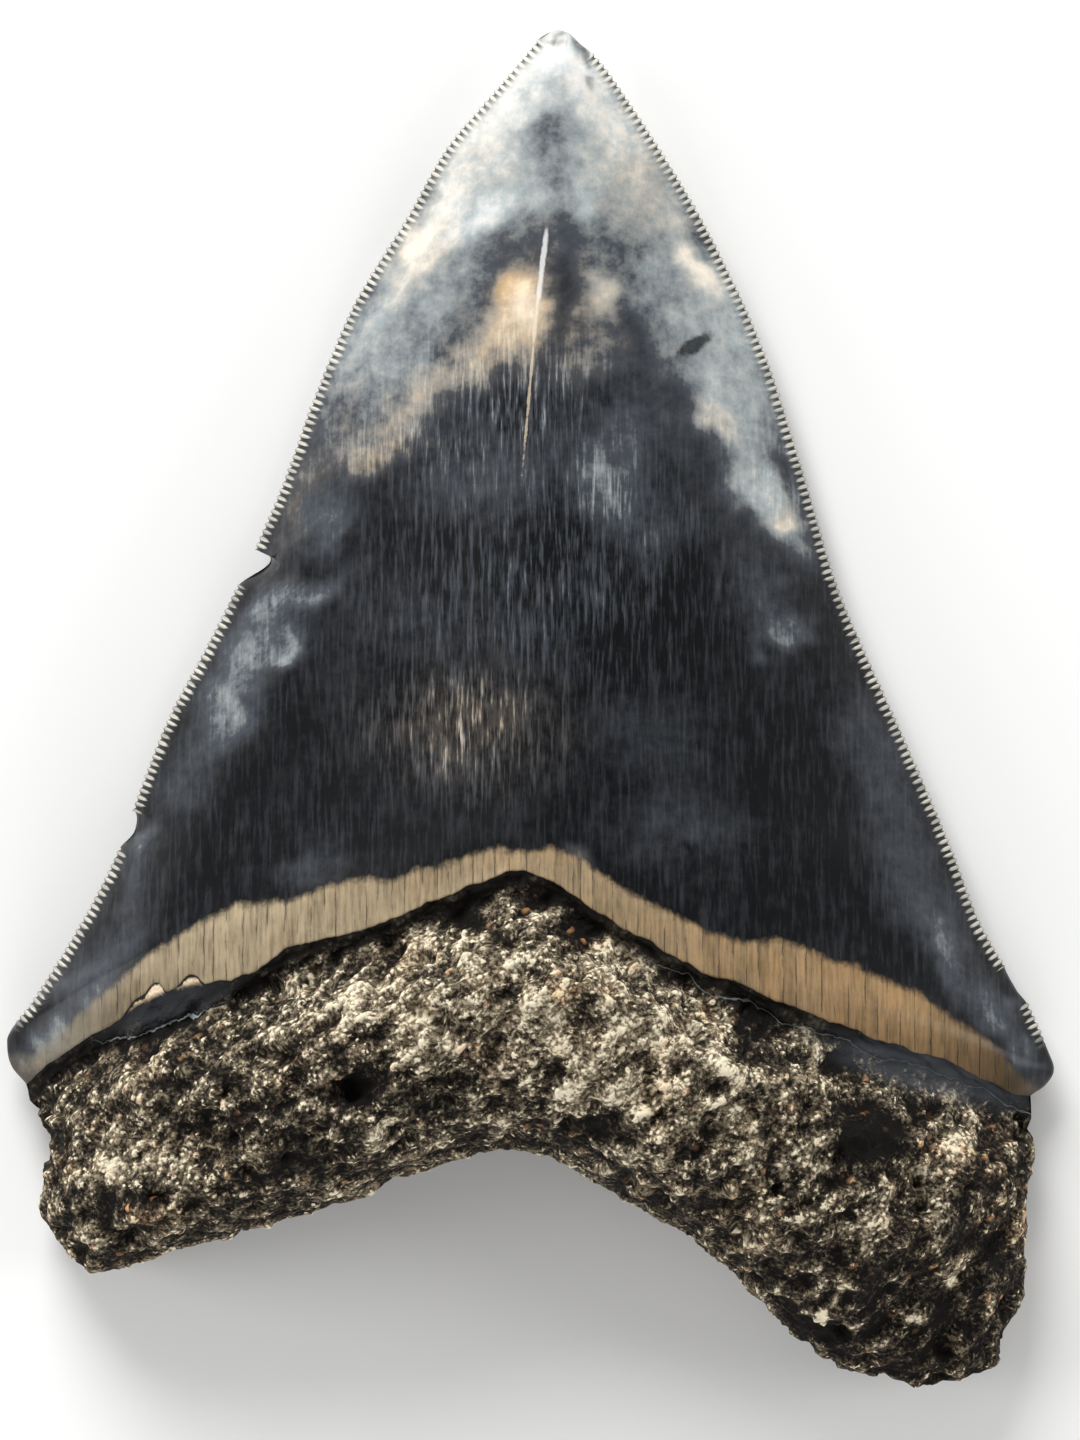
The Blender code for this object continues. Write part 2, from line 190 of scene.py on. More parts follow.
# Patterns of the enamel. Fibres and hairs, across and along, are drawn coarser than real ones, to show
CLOUD_SIZE = 5.0
MOTTLE_SIZE = 1.4
FIBRE_SIZE = (0.36, 4.2)
HAIR_SIZE = (0.16, 1.7)
CRACK_SPACING = 1.25

# Patterns of the root
GRAIN_SIZE = 0.8
CHIP_SIZE = 0.42
GRIT_SIZE = 0.42
CLUMP_SIZE = 1.7
LUMP_SIZE = 3.4
SWIRL_SIZE = 0.9
GRAIN_SLANT = math.radians(38)
GRAIN_STRETCH = 1.45
RELIEF_MIDDLE = 1.4

# Values that each point of the skin carries for its relief and its paint
MASKS = (
    "tone", "warmth", "streaky", "band", "below", "phase", "inward", "serrated", "root", "rough",
    "layer", "ledge", "plate", "notch", "lingual", "smooth",
)

# The photograph's frame, which the camera repeats
PHOTO_WIDTH, PHOTO_HEIGHT = 1080, 1440
PHOTO_MIDDLE = (530.5, 707.5)
PIXEL = 0.094
CAMERA_HEIGHT = 1.2
FLOOR_SIZE = 6.0
FLOOR_DROP = 0.1 * MM

# Lights: turn round the tooth and lean from upright in degrees, and size of the disk in metres
LIGHTS = [
    ("key", 108, 60, 0.6), ("fill_left", 180, 72, 0.5), ("fill_right", 0, 72, 0.5),
    ("fill_front", 270, 70, 0.6),
]

# The flat pattern, in cells: columns run across the tooth, rows up the root (below 0) and the crown.
# Each grid has its face, its first and last column and row, and its number of columns and rows.
LINGUAL, LABIAL = 1, -1
COLUMNS = 296
STRIP = 4
ROOT_ROWS = 330
CROWN_ROWS = 1080
TIP_ROWS = 36
TOP = CROWN_ROWS + TIP_ROWS
ROUNDED_ROWS = 120
ROUNDED_SHARE = 0.34
ROUNDED_COLUMNS = 30
SIDE_SHARE = 0.10
GRIDS = [
    (LINGUAL, 0, COLUMNS, -ROOT_ROWS, 0, 296, 110),
    (LINGUAL, STRIP, COLUMNS - STRIP, 0, 54, 288, 18),
    (LINGUAL, STRIP, COLUMNS - STRIP, 54, 432, 144, 63),
    (LINGUAL, STRIP, COLUMNS - STRIP, 432, 810, 72, 63),
    (LINGUAL, STRIP, COLUMNS - STRIP, 810, TOP, 36, 51),
    (LABIAL, 0, COLUMNS, -ROOT_ROWS, 0, 148, 55),
    (LABIAL, STRIP, COLUMNS - STRIP, 0, 432, 72, 72),
    (LABIAL, STRIP, COLUMNS - STRIP, 432, 810, 36, 63),
    (LABIAL, STRIP, COLUMNS - STRIP, 810, TOP, 18, 51),
] + [(face, x, x + STRIP, 0, TOP, STRIP, TOP) for face in (LINGUAL, LABIAL) for x in (0, COLUMNS - STRIP)]

# Painted patches: place, reach along and across, turn in degrees, tone from black to white,
# warmth from blue-grey to tan, and strength. Later patches lie over earlier ones, and all over the
# tone and warmth that the crown and the root start from.
CROWN_START = (0.06, 0.0)
ROOT_START = (0.44, 0.12)
# How much darker the root's pits are painted: painted shade in their hollows
PIT_SHADE = 0.55
CROWN_STROKES = [
    (2.4, 54.3, 16.0, 9.9, 0, 0.76, 0.14, 1.0), (2.4, 60.9, 7.5, 4.2, 0, 0.86, 0.1, 1.0),
    (-14.8, 36.5, 10.0, 2.4, 64, 0.58, 0.05, 0.85),
    (-12.3, 33.6, 10.3, 5.6, 57, 0.56, 0.02, 0.9), (17.3, 35.5, 14.1, 5.6, -65, 0.64, 0.02, 0.95),
    (22.5, 20.4, 6.6, 2.8, -60, 0.63, 0.02, 0.9), (-2.9, 55.2, 5.6, 1.5, 52, 0.82, 0.2, 0.8),
    (-7.1, 48.2, 5.6, 1.7, 52, 0.8, 0.22, 0.9), (-10.0, 43.0, 3.6, 1.7, 60, 0.9, 0.6, 0.9),
    (-12.5, 39.2, 2.8, 1.1, 60, 0.88, 0.4, 0.8), (-3.8, 46.0, 4.5, 2.4, 20, 0.82, 0.0, 0.85),
    (7.0, 54.8, 3.8, 2.1, -50, 0.82, 0.25, 0.8), (9.5, 49.6, 3.4, 2.3, -50, 0.66, 0.28, 0.8),
    (11.7, 45.6, 3.2, 2.4, -55, 0.66, 0.25, 0.8), (15.7, 41.3, 3.8, 1.0, -66, 0.93, 0.6, 0.95),
    (5.1, 46.4, 1.3, 2.1, 0, 0.77, -0.1, 0.7), (2.2, 53.6, 3.0, 4.6, 0, 0.36, -0.12, 1.0),
    (2.2, 49.2, 1.5, 4.2, 0, 0.42, -0.1, 0.9), (-2.9, 42.4, 4.3, 1.2, 12, 0.3, 0.0, 0.85),
    (3.0, 43.4, 2.6, 2.1, 0, 0.24, 0.0, 0.95), (7.7, 43.6, 3.8, 1.2, -10, 0.36, 0.0, 0.8),
    (-9.9, 38.3, 5.6, 2.8, 50, 0.52, 0.0, 0.7), (-4.9, 38.3, 2.4, 3.2, 0, 0.46, 0.05, 0.7),
    (0.9, 34.1, 7.5, 3.9, 0, 0.36, 0.25, 0.7), (-0.6, 37.2, 2.0, 4.6, -10, 0.71, 0.88, 1.0),
    (-0.1, 36.6, 1.0, 2.6, -10, 0.8, 0.75, 0.8), (-1.7, 38.8, 1.1, 2.4, -15, 0.68, 1.0, 0.8),
    (-3.6, 33.2, 2.8, 2.4, 40, 0.74, 0.75, 0.9), (-8.0, 30.4, 3.6, 1.9, 35, 0.54, 0.45, 0.85),
    (0.0, 39.8, 0.8, 1.3, 0, 0.86, 0.95, 0.8),
    (6.5, 38.7, 2.1, 3.2, 0, 0.76, 0.42, 0.85), (4.3, 35.5, 1.7, 3.2, 0, 0.46, 0.4, 0.7),
    (7.1, 33.0, 1.9, 2.3, 0, 0.5, 0.35, 0.6), (11.7, 39.7, 2.8, 4.1, -20, 0.5, -0.05, 0.7),
    (19.2, 28.0, 5.2, 2.6, -62, 0.63, -0.02, 0.8), (22.3, 20.0, 3.2, 1.9, -60, 0.62, 0.02, 0.8),
    (24.4, 18.2, 1.2, 0.9, 0, 0.86, 0.75, 0.95), (17.4, 27.0, 1.9, 1.3, -60, 0.78, 0.45, 0.8),
    (25.3, 15.7, 2.1, 0.8, -65, 0.52, 0.0, 0.7), (23.3, 23.1, 3.2, 0.8, -72, 0.17, 0.0, 0.85),
    (11.7, 27.0, 6.6, 2.3, -62, 0.3, 0.0, 0.7), (-10.5, 28.0, 5.6, 2.2, 38, 0.64, 0.45, 0.85),
    (-13.7, 25.1, 4.7, 2.4, 35, 0.52, 0.45, 0.75), (-19.6, 23.1, 5.6, 2.1, 60, 0.42, 0.3, 0.75),
    (-22.0, 17.6, 4.7, 1.5, 62, 0.3, 0.42, 0.8), (-14.6, 23.3, 2.4, 1.5, 30, 0.5, 0.62, 0.7),
    (-18.8, 17.6, 3.0, 1.9, 30, 0.34, -0.18, 0.9), (-4.7, 22.3, 6.6, 5.6, 0, 0.25, 0.02, 0.8),
    (2.3, 26.1, 3.8, 5.6, 0, 0.24, 0.0, 0.6), (7.7, 21.4, 3.8, 6.2, 0, 0.42, -0.06, 0.85),
    (11.2, 17.6, 2.8, 4.7, 0, 0.34, -0.05, 0.5), (15.0, 19.5, 5.6, 2.1, -55, 0.13, 0.0, 0.9),
    (20.2, 13.9, 5.6, 2.8, -60, 0.13, 0.0, 0.9), (21.8, 9.2, 2.3, 3.2, 30, 0.4, 0.0, 0.7),
    (23.1, 7.1, 2.8, 1.1, 10, 0.48, 0.0, 0.7), (-7.6, 8.2, 10.3, 5.6, 0, 0.14, 0.0, 0.8),
    (2.8, 10.1, 5.6, 5.6, 0, 0.17, -0.05, 0.5), (-22.4, 10.1, 5.6, 1.7, 32, 0.47, -0.02, 0.85),
    (-26.2, 4.9, 4.1, 2.8, 40, 0.47, -0.02, 0.9), (-22.6, 4.9, 1.5, 1.3, 60, 0.58, -0.03, 0.8),
    (-28.6, -0.4, 4.1, 2.1, 45, 0.46, -0.02, 0.8), (-32.0, -5.9, 3.8, 2.4, 55, 0.24, 0.0, 0.7),
    (-36.7, -13.0, 2.1, 0.9, 60, 0.5, 0.0, 0.8), (-37.2, -17.2, 4.7, 1.3, 65, 0.26, 0.02, 0.6),
    (-5.7, -2.1, 9.0, 5.3, 0, 0.2, 0.6, 0.85), (-3.8, 0.7, 4.7, 2.4, 0, 0.27, 0.6, 0.5),
    (4.7, -13.4, 0.9, 1.1, 0, 0.45, 0.6, 0.7), (14.1, -11.3, 5.6, 3.8, 0, 0.2, -0.06, 0.8),
    (11.2, -2.1, 5.6, 3.8, 0, 0.2, -0.05, 0.6), (32.9, -4.9, 6.6, 3.2, -62, 0.23, -0.03, 0.8),
    (36.6, -16.2, 7.5, 3.2, -62, 0.26, -0.03, 0.8), (39.4, -22.8, 4.7, 1.5, -58, 0.38, -0.05, 0.8),
    (43.2, -28.4, 3.8, 1.5, -52, 0.44, -0.03, 0.85), (46.0, -32.2, 1.9, 1.3, -50, 0.38, 0.0, 0.8),
    (47.7, -34.5, 1.5, 1.1, 0, 0.24, 0.25, 0.8), (-40.5, -25.6, 5.6, 1.9, 52, 0.34, -0.06, 0.8),
    (-44.7, -31.3, 4.7, 1.7, 48, 0.5, -0.03, 0.9), (-42.2, -30.3, 3.8, 1.5, 42, 0.52, 0.35, 0.7),
    (-46.1, -33.9, 2.1, 1.1, 40, 0.46, 0.5, 0.8), (-20.7, -14.5, 3.4, 1.9, 10, 0.24, -0.05, 0.7),
    (2.9, 61.6, 1.4, 1.2, 0, 0.82, 0.1, 0.8), (5.2, 60.9, 1.4, 0.5, -50, 0.36, 0.2, 0.9),
    (2.4, 62.7, 1.2, 0.3, 10, 0.5, 0.2, 0.8), (1.2, 62.3, 0.25, 1.0, 0, 0.9, 0.0, 0.8),
]
# The dark patches along the root's lower edge, at (-1.9, -40.7) and (32.9, -58.5), are painted shade where
# the rounded edge turns away from the light.
ROOT_STROKES = [
    (0.0, -28.4, 21.6, 7.5, 0, 0.75, 0.12, 0.9), (-15.1, -27.5, 5.6, 3.2, 20, 0.86, 0.0, 0.8),
    (-5.7, -25.6, 5.6, 3.8, 0, 0.7, 0.15, 0.6), (3.7, -25.6, 3.8, 3.2, 0, 0.74, 0.3, 0.6),
    (15.0, -29.4, 4.7, 3.8, -30, 0.78, 0.25, 0.7), (8.4, -34.5, 2.1, 2.4, 40, 0.8, 0.1, 0.8),
    (2.8, -37.4, 3.8, 1.1, 50, 0.72, 0.0, 0.7), (-35.8, -40.7, 10.3, 6.6, -20, 0.52, 0.15, 0.9),
    (-33.9, -37.8, 4.7, 2.8, 40, 0.6, 0.1, 0.7), (-37.6, -47.7, 4.7, 2.8, -30, 0.34, 0.45, 0.8),
    (-29.7, -38.8, 3.2, 2.3, 0, 0.22, 0.0, 0.8), (-24.5, -44.4, 4.1, 2.3, 20, 0.25, 0.0, 0.8),
    (-21.7, -46.3, 11.3, 2.8, 16, 0.34, 0.05, 0.6), (-15.1, -39.7, 11.3, 4.7, 20, 0.46, 0.05, 0.7),
    (-1.9, -40.7, 5.6, 1.5, 0, 0.3, 0.3, 0.8), (19.7, -37.8, 6.6, 4.7, -40, 0.68, 0.1, 0.8),
    (20.6, -45.4, 5.6, 2.3, -45, 0.66, 0.1, 0.6), (15.9, -44.4, 5.6, 1.9, -40, 0.34, 0.15, 0.7),
    (31.9, -38.8, 5.6, 2.3, 10, 0.3, 0.0, 0.8), (39.8, -41.4, 3.2, 2.4, 0, 0.8, 0.35, 0.85),
    (31.6, -48.2, 5.0, 2.0, 30, 0.68, 0.05, 0.8), (34.7, -51.9, 8.5, 2.1, 38, 0.34, 0.1, 0.6),
    (40.4, -49.1, 3.8, 1.9, 30, 0.26, 0.0, 0.7), (32.9, -58.5, 12.2, 5.6, 0, 0.16, 0.15, 0.9),
    (39.4, -46.3, 5.6, 1.1, 20, 0.3, 0.0, 0.6), (44.6, -50.1, 1.9, 10.3, 0, 0.36, 0.35, 0.7),
    (29.8, -54.7, 0.9, 0.7, 0, 1.2, 0.0, 1.0), (30.6, -57.5, 0.7, 0.6, 0, 1.2, 0.0, 1.0),
    (39.1, -54.4, 0.7, 0.7, 0, 1.5, 0.0, 1.0), (35.9, -55.7, 0.8, 0.6, 0, 0.9, 0.0, 1.0),
    (27.9, -56.4, 0.7, 0.7, 0, 1.5, 0.0, 1.0), (-37.6, -42.8, 1.1, 0.8, 40, 1.1, 0.1, 1.0),
    (3.6, -36.5, 3.4, 0.6, 56, 0.85, 0.05, 1.0), (-24.9, -22.8, 0.6, 0.5, 0, 0.9, 0.9, 1.0),
    (-6.4, -22.6, 0.9, 0.7, 0, 0.85, 1.0, 1.0), (3.2, -26.0, 1.0, 1.6, 0, 0.9, 0.9, 0.9),
    (15.7, -28.8, 1.5, 0.9, -20, 0.85, 0.9, 0.9), (18.8, -37.0, 0.8, 1.4, 20, 0.9, 0.9, 0.9),
]


def smooth_line(points):
    """Return a function from a share of the length, 0 to 1, to a place on a curve through points."""
    ends = [2 * np.array(points[0]) - points[1], 2 * np.array(points[-1]) - points[-2]]
    knots = np.vstack([ends[0], points, ends[1]])
    q = np.linspace(0, 1, 10, endpoint=False)[:, None]
    spans = []
    for a, b, c, d in zip(knots, knots[1:], knots[2:], knots[3:]):
        bend = (2 * a - 5 * b + 4 * c - d) * q ** 2 + (3 * b - a - 3 * c + d) * q ** 3
        spans.append(b + 0.5 * ((c - a) * q + bend))
    line = np.vstack(spans + [knots[-2:-1]])
    run = np.concatenate([[0], np.cumsum(np.hypot(*np.diff(line, axis=0).T))])

    def place(t):
        return np.column_stack([np.interp(np.ravel(t), run / run[-1], line[:, k]) for k in (0, 1)])

    place.length = run[-1]
    place.line = line
    return place


left_edge = smooth_line(LEFT_EDGE)
right_edge = smooth_line(RIGHT_EDGE)
blunt_tip = smooth_line(BLUNT_TIP)
lower_edge = smooth_line(LOWER_EDGE)
left_side = smooth_line(LEFT_SIDE)
right_side = smooth_line(RIGHT_SIDE)
necks = {LINGUAL: smooth_line(LINGUAL_NECK), LABIAL: smooth_line(LABIAL_NECK)}
root_border = np.vstack([left_side.line[:0:-1], lower_edge.line, right_side.line[1:]])


def ease(x):
    x = np.clip(x, 0, 1)
    return x * x * (3 - 2 * x)


def quarter_round(x):
    """Rise from 0 to 1 along a quarter of a circle."""
    return np.sqrt(1 - (1 - np.clip(x, 0, 1)) ** 2)


def grain(x, y, size, seed=0.0):
    """Smooth noise between about -0.7 and 0.7, with lumps of a size."""
    return np.array([noise.noise(Vector((a / size, b / size, seed))) for a, b in zip(x, y)])


def distance_to_line(places, line):
    """Distance from each place to a line of many short straight pieces."""
    a, b = line[:-1], line[1:]
    along = b - a
    nearest = np.empty(len(places))
    for start in range(0, len(places), 4096):
        part = slice(start, start + 4096)
        t = np.einsum("nij,ij->ni", places[part, None] - a, along) / (along ** 2).sum(1)
        beside = a + np.clip(t, 0, 1)[..., None] * along
        nearest[part] = np.hypot(*(places[part, None] - beside).transpose(2, 0, 1)).min(1)
    return nearest


def nick_depth(share, nicks):
    """Depth of the bites out of a cutting edge, sloping in from below and round at the top."""
    depth = np.zeros_like(share)
    for start, deepest, end, deep in nicks:
        rise = ease((share - start) / (deepest - start))
        depth += deep * rise * quarter_round((end - share) / (end - deepest))
    return depth


def deselect_all():
    for thing in bpy.context.selected_objects:
        thing.select_set(False)


def lay_out_pattern(name):
    """Add the grids of the flat pattern, cut their borders to match, and join them."""
    deselect_all()
    sheets = []
    for face, x0, x1, y0, y1, columns, rows in GRIDS:
        bpy.ops.mesh.primitive_grid_add(x_subdivisions=columns, y_subdivisions=rows, size=1)
        sheet = bpy.context.object
        sheet.scale = (x1 - x0, y1 - y0, 1)
        sheet.location = ((x0 + x1) / 2, (y0 + y1) / 2, face)
        sheets.append(sheet)
    for sheet in sheets:
        sheet.select_set(True)
    bpy.ops.object.transform_apply(location=True, rotation=False, scale=True)
    bpy.ops.object.join()
    skin = bpy.context.object
    skin.name = skin.data.name = name
    match_borders(skin.data)
    bpy.ops.object.mode_set(mode="EDIT")
    bpy.ops.mesh.select_all(action="SELECT")
    bpy.ops.mesh.remove_doubles(threshold=0.01)
    bpy.ops.object.mode_set(mode="OBJECT")
    return skin


def match_borders(mesh):
    """Cut each border edge where the finer grid beside it has points."""
    cuts = border_cuts(mesh)
    while cuts.any():
        chosen = cuts == cuts.max()
        mesh.vertices.foreach_set("select", np.zeros(len(mesh.vertices), bool))
        mesh.polygons.foreach_set("select", np.zeros(len(mesh.polygons), bool))
        mesh.edges.foreach_set("select", chosen)
        bpy.ops.object.mode_set(mode="EDIT")
        bpy.context.tool_settings.mesh_select_mode = (False, True, False)
        bpy.ops.mesh.subdivide(number_cuts=int(cuts.max()), ngon=False)
        bpy.ops.object.mode_set(mode="OBJECT")
        cuts = border_cuts(mesh)


def border_cuts(mesh):
    """For each edge on a grid's border, count the other points of its line that lie inside it."""
    places = mesh_places(mesh).round(2)
    borders = [sorted({grid[k] for grid in GRIDS for k in pair}) for pair in ((1, 2), (3, 4))]
    outline = [(0, COLUMNS), (-ROOT_ROWS, TOP)]
    edges = np.empty(len(mesh.edges) * 2, int)
    mesh.edges.foreach_get("vertices", edges)
    edges = edges.reshape(-1, 2)
    cuts = np.zeros(len(edges), int)
    for along in (0, 1):
        fixed, run = places[:, 1 - along], places[:, along]
        face = np.where(np.isin(fixed, outline[1 - along]), 0, places[:, 2])
        lines = {}
        for k in np.flatnonzero(np.isin(fixed, borders[1 - along])):
            lines.setdefault((face[k], fixed[k]), set()).add(run[k])
        lines = {key: np.sort(list(points)) for key, points in lines.items()}
        on_line = (fixed[edges[:, 0]] == fixed[edges[:, 1]]) & np.isin(fixed[edges[:, 0]], borders[1 - along])
        for k in np.flatnonzero(on_line):
            a, b = edges[k]
            low, high = sorted((run[a], run[b]))
            line = lines[(face[a], fixed[a])]
            cuts[k] = np.searchsorted(line, high) - np.searchsorted(line, low, "right")
    return cuts


def raggedness(x):
    """How far the broken end of the enamel stands above or below its smooth line, along the tooth."""
    rough = 0.75 * grain(x, x * 0, 3.4, 1.0) + 0.45 * grain(x, x * 0, 1.3, 2.0)
    for place, reach, rise in ENAMEL_NOTCHES:
        rough += rise * np.exp(-((x - place) / reach) ** 4)
    return rough + 0.22 * grain(x, x * 0, 0.55, 3.0)


def strip_steps(edge, w, across, sign, bend):
    """Steps in the shares s and w that lead from a cutting edge straight in to its strip's far side."""
    span = 0.015
    ahead = (edge(np.clip(w + span, 0, 1)) - edge(np.clip(w - span, 0, 1))) * edge.length
    way = ahead / np.hypot(*ahead.T)[:, None]
    inward = np.column_stack([way[:, 1], -way[:, 0]]) * sign
    up = way * edge.length
    side = sign * (across + (1 - w[:, None]) * bend)
    turn = side[:, 0] * up[:, 1] - side[:, 1] * up[:, 0]
    ds = STRIP_WIDTH * (inward[:, 0] * up[:, 1] - inward[:, 1] * up[:, 0]) / turn
    dw = STRIP_WIDTH * (side[:, 0] * inward[:, 1] - side[:, 1] * inward[:, 0]) / turn
    kept = (1 + (np.abs(dw) / np.maximum(0.35 * w, 1e-6)) ** 3) ** (-1 / 3)
    level = 0.8 * STRIP_WIDTH / np.hypot(*side.T)
    return np.minimum(kept * ds + (1 - kept) * level, 0.3), kept * dw, way


def crown_layout(x, y, face):
    """Shares and directions of the crown's points: s across, w up, q over the blunt tip."""
    w = np.clip(y / CROWN_ROWS, 0, 1)
    across = right_edge(w) - left_edge(w)
    bends = [np.empty((len(x), 2)) for _ in range(2)]
    for side, neck in necks.items():
        chord = neck(1) - neck(0)
        bends[0][face == side] = (neck(0.01) - neck(0)) / 0.01 - chord
        bends[1][face == side] = (neck(1) - neck(0.99)) / 0.01 - chord
    left_ds, left_dw, left_way = strip_steps(left_edge, w, across, 1, bends[0])
    right_ds, right_dw, right_way = strip_steps(right_edge, w, across, -1, bends[1])
    inner = (x - STRIP) / (COLUMNS - 2 * STRIP)
    from_left = np.interp(x, range(STRIP + 1), STRIP_STEPS)
    from_right = np.interp(COLUMNS - x, range(STRIP + 1), STRIP_STEPS)
    s = left_ds + inner * (1 - left_ds - right_ds)
    s = np.where(x < STRIP, from_left * left_ds, s)
    s = np.where(x > COLUMNS - STRIP, 1 - from_right * right_ds, s)
    w = w + left_dw * from_left * ease(1 - inner / SHEAR_REACH)
    w = w + right_dw * from_right * ease(1 - (1 - inner) / SHEAR_REACH)
    q = np.clip((y - CROWN_ROWS) / TIP_ROWS, 0, 1)
    return s, np.clip(w, 0, 1), q, right_edge(w) - left_edge(w), left_way, right_way


def serrations(place, edge, w0, way, sign, nicks):
    """Where points lie beside a cutting edge, and its serrations there.

    Gives the distance inward, the cycle of the ridges, where they are whole and how worn, the share
    along the edge, and the direction outward.
    """
    off = place - edge(w0)
    outward = np.column_stack([-way[:, 1], way[:, 0]]) * sign
    inward = -(off * outward).sum(1)
    run = w0 * edge.length + (off * way).sum(1)
    share = run / edge.length
    phase = share * round(edge.length / SERRATION_PITCH) + 0.5 + 0.2 * grain(run, run * 0, 2.6, sign * 5.0)
    whole = ease((share - SERRATED_FROM) / 0.02) * (share < 0.998) * (nick_depth(share, nicks) < 0.02)
    worn = 0.8 + 0.5 * grain(run, run * 0, 1.4, sign * 9.0)
    return inward, phase, whole, worn, share, outward


def crown_height(s, w, face):
    """Height of the crown's lingual or labial face: a lens on the plane of the cutting edges."""
    lens = np.clip(1 - (2 * s - 1) ** 2, 0, 1) ** LENS_POWER
    edge = EDGE_HEIGHT - EDGE_DIP * np.sin(math.pi * w) + TIP_LIFT * w ** 3
    lingual = edge + (TIP_BULGE + CROWN_BULGE * (1 - w) ** CROWN_TAPER) * lens
    labial = edge - (TIP_BULGE + (LABIAL_BULGE - TIP_BULGE) * ease(2.5 - 2.5 * w)) * lens
    return edge, np.where(face > 0, lingual, np.maximum(0, labial))


def dents(x, y, places):
    """Depth of small chips: place, reach along and across, turn and depth of each."""
    depth = np.zeros_like(x)
    for px, py, along, across, turn, deep in places:
        depth += deep * ease(1.35 - patch_distance(x, y, px, py, along, across, turn))
    return depth


def patch_distance(x, y, px, py, along, across, turn):
    """Distance from the middle of a turned oval patch, 1 at its rim."""
    c, s = math.cos(math.radians(turn)), math.sin(math.radians(turn))
    dx, dy = x - px, y - py
    return np.hypot((dx * c + dy * s) / along, (dy * c - dx * s) / across)


def lift_crown(x, y, face, form):
    """Places in millimetres of the crown's points, with their masks."""
    s, w, q, across, left_way, right_way = crown_layout(x, y, face)
    w0 = np.clip(y / CROWN_ROWS, 0, 1)
    plan = np.empty((len(x), 2))
    for side, neck in necks.items():
        on = face == side
        chord = (1 - s[on, None]) * neck(0) + s[on, None] * neck(1)
        plan[on] = (1 - w[on, None]) * (neck(s[on]) - chord) + left_edge(w[on]) + s[on, None] * across[on]
    edge, height = crown_height(s, w, face)
    width = np.hypot(*across.T)
    left = serrations(plan, left_edge, w0, left_way, 1, LEFT_NICKS)
    right = serrations(plan, right_edge, w0, right_way, -1, RIGHT_NICKS)
    pick = (s < 0.5, s[:, None] < 0.5)
    inward, phase, whole, worn, _ = (np.where(pick[0], a, b) for a, b in zip(left[:5], right[:5]))
    outward = np.where(pick[1], left[5], right[5])
    whole = whole * (q == 0)
    ridge = (0.5 + 0.5 * np.cos(2 * math.pi * phase)) ** 0.75
    teeth = form.serration_depth / MM * (ridge - 0.5) * whole * worn * ease(1 - inward / 0.5)
    nick = nick_depth(left[4], LEFT_NICKS) * np.clip(1 - s * width / NICK_REACH, 0, 1)
    nick -= nick_depth(right[4], RIGHT_NICKS) * np.clip(1 - (1 - s) * width / NICK_REACH, 0, 1)
    plan += outward * teeth[:, None] + nick[:, None] * across / width[:, None]
    plan = (1 - q[:, None]) * plan + q[:, None] * blunt_tip(s)
    height = edge + (height - edge) * np.sqrt(1 - q ** 2)
    raised = RIDGE_HEIGHT * (ridge - 0.4) * whole * worn
    raised *= ease(inward / 0.15) * ease((RIDGE_LENGTH - inward) / 0.4)
    height += np.where(face > 0, raised, -raised * 0.6)
    height -= np.where(face > 0, dents(*plan.T, CROWN_DENTS), 0)
    ragged = np.where(face > 0, ENAMEL_RAGGED, LABIAL_RAGGED)
    ragged *= ease(1 - w / 0.06) * ease(np.minimum(s, 1 - s) / 0.02)
    plan[:, 1] += raggedness(plan[:, 0]) * ragged
    masks = {
        "phase": phase, "serrated": whole * np.clip(worn * 1.3, 0.45, 1),
        "inward": np.clip(inward, 0, 20), "below": -w * 60,
    }
    return np.column_stack([plan, np.maximum(height, 0)]), masks


def root_layout(x, y, face):
    """Shares of the root's points: s across, v up from its lower edge to the neck."""
    row = y + ROOT_ROWS
    v = ROUNDED_SHARE * (1 - np.cos(np.clip(row / ROUNDED_ROWS, 0, 1) * math.pi / 2))
    above = np.clip((row - ROUNDED_ROWS) / (ROOT_ROWS - ROUNDED_ROWS), 0, 1)
    v = np.where(row > ROUNDED_ROWS, ROUNDED_SHARE + (1 - ROUNDED_SHARE) * (1 - (1 - above) ** 1.2), v)
    at_neck = crown_layout(x, np.zeros_like(x), face)[0]
    half = np.minimum(x, COLUMNS - x)
    s = SIDE_SHARE * (1 - np.cos(np.clip(half / ROUNDED_COLUMNS, 0, 1) * math.pi / 2))
    inner = SIDE_SHARE + (half - ROUNDED_COLUMNS) / (COLUMNS / 2 - ROUNDED_COLUMNS) * (0.5 - SIDE_SHARE)
    s = np.where(half > ROUNDED_COLUMNS, inner, s)
    s = np.where(x > COLUMNS / 2, 1 - s, s)
    return s + (at_neck - s) * ease((v - 0.75) / 0.25), v


def root_relief(x, y):
    """Pits, ridges, grooves and lumps of the lingual face of the root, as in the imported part."""
    relief = np.zeros_like(x)
    for px, py, reach, depth in PITS:
        relief -= depth * np.exp(-((x - px) ** 2 + (y - py) ** 2) / reach ** 2)
    for start, end, reach, height in RIDGES:
        along = np.subtract(end, start)
        t = np.clip(((x - start[0]) * along[0] + (y - start[1]) * along[1]) / (along @ along), 0, 1)
        off = np.hypot(x - start[0] - t * along[0], y - start[1] - t * along[1])
        relief += height * np.exp(-(off / reach) ** 2)
    for size, height in LUMPS:
        relief += height * grain(x, y, size, 1.0)
    return relief


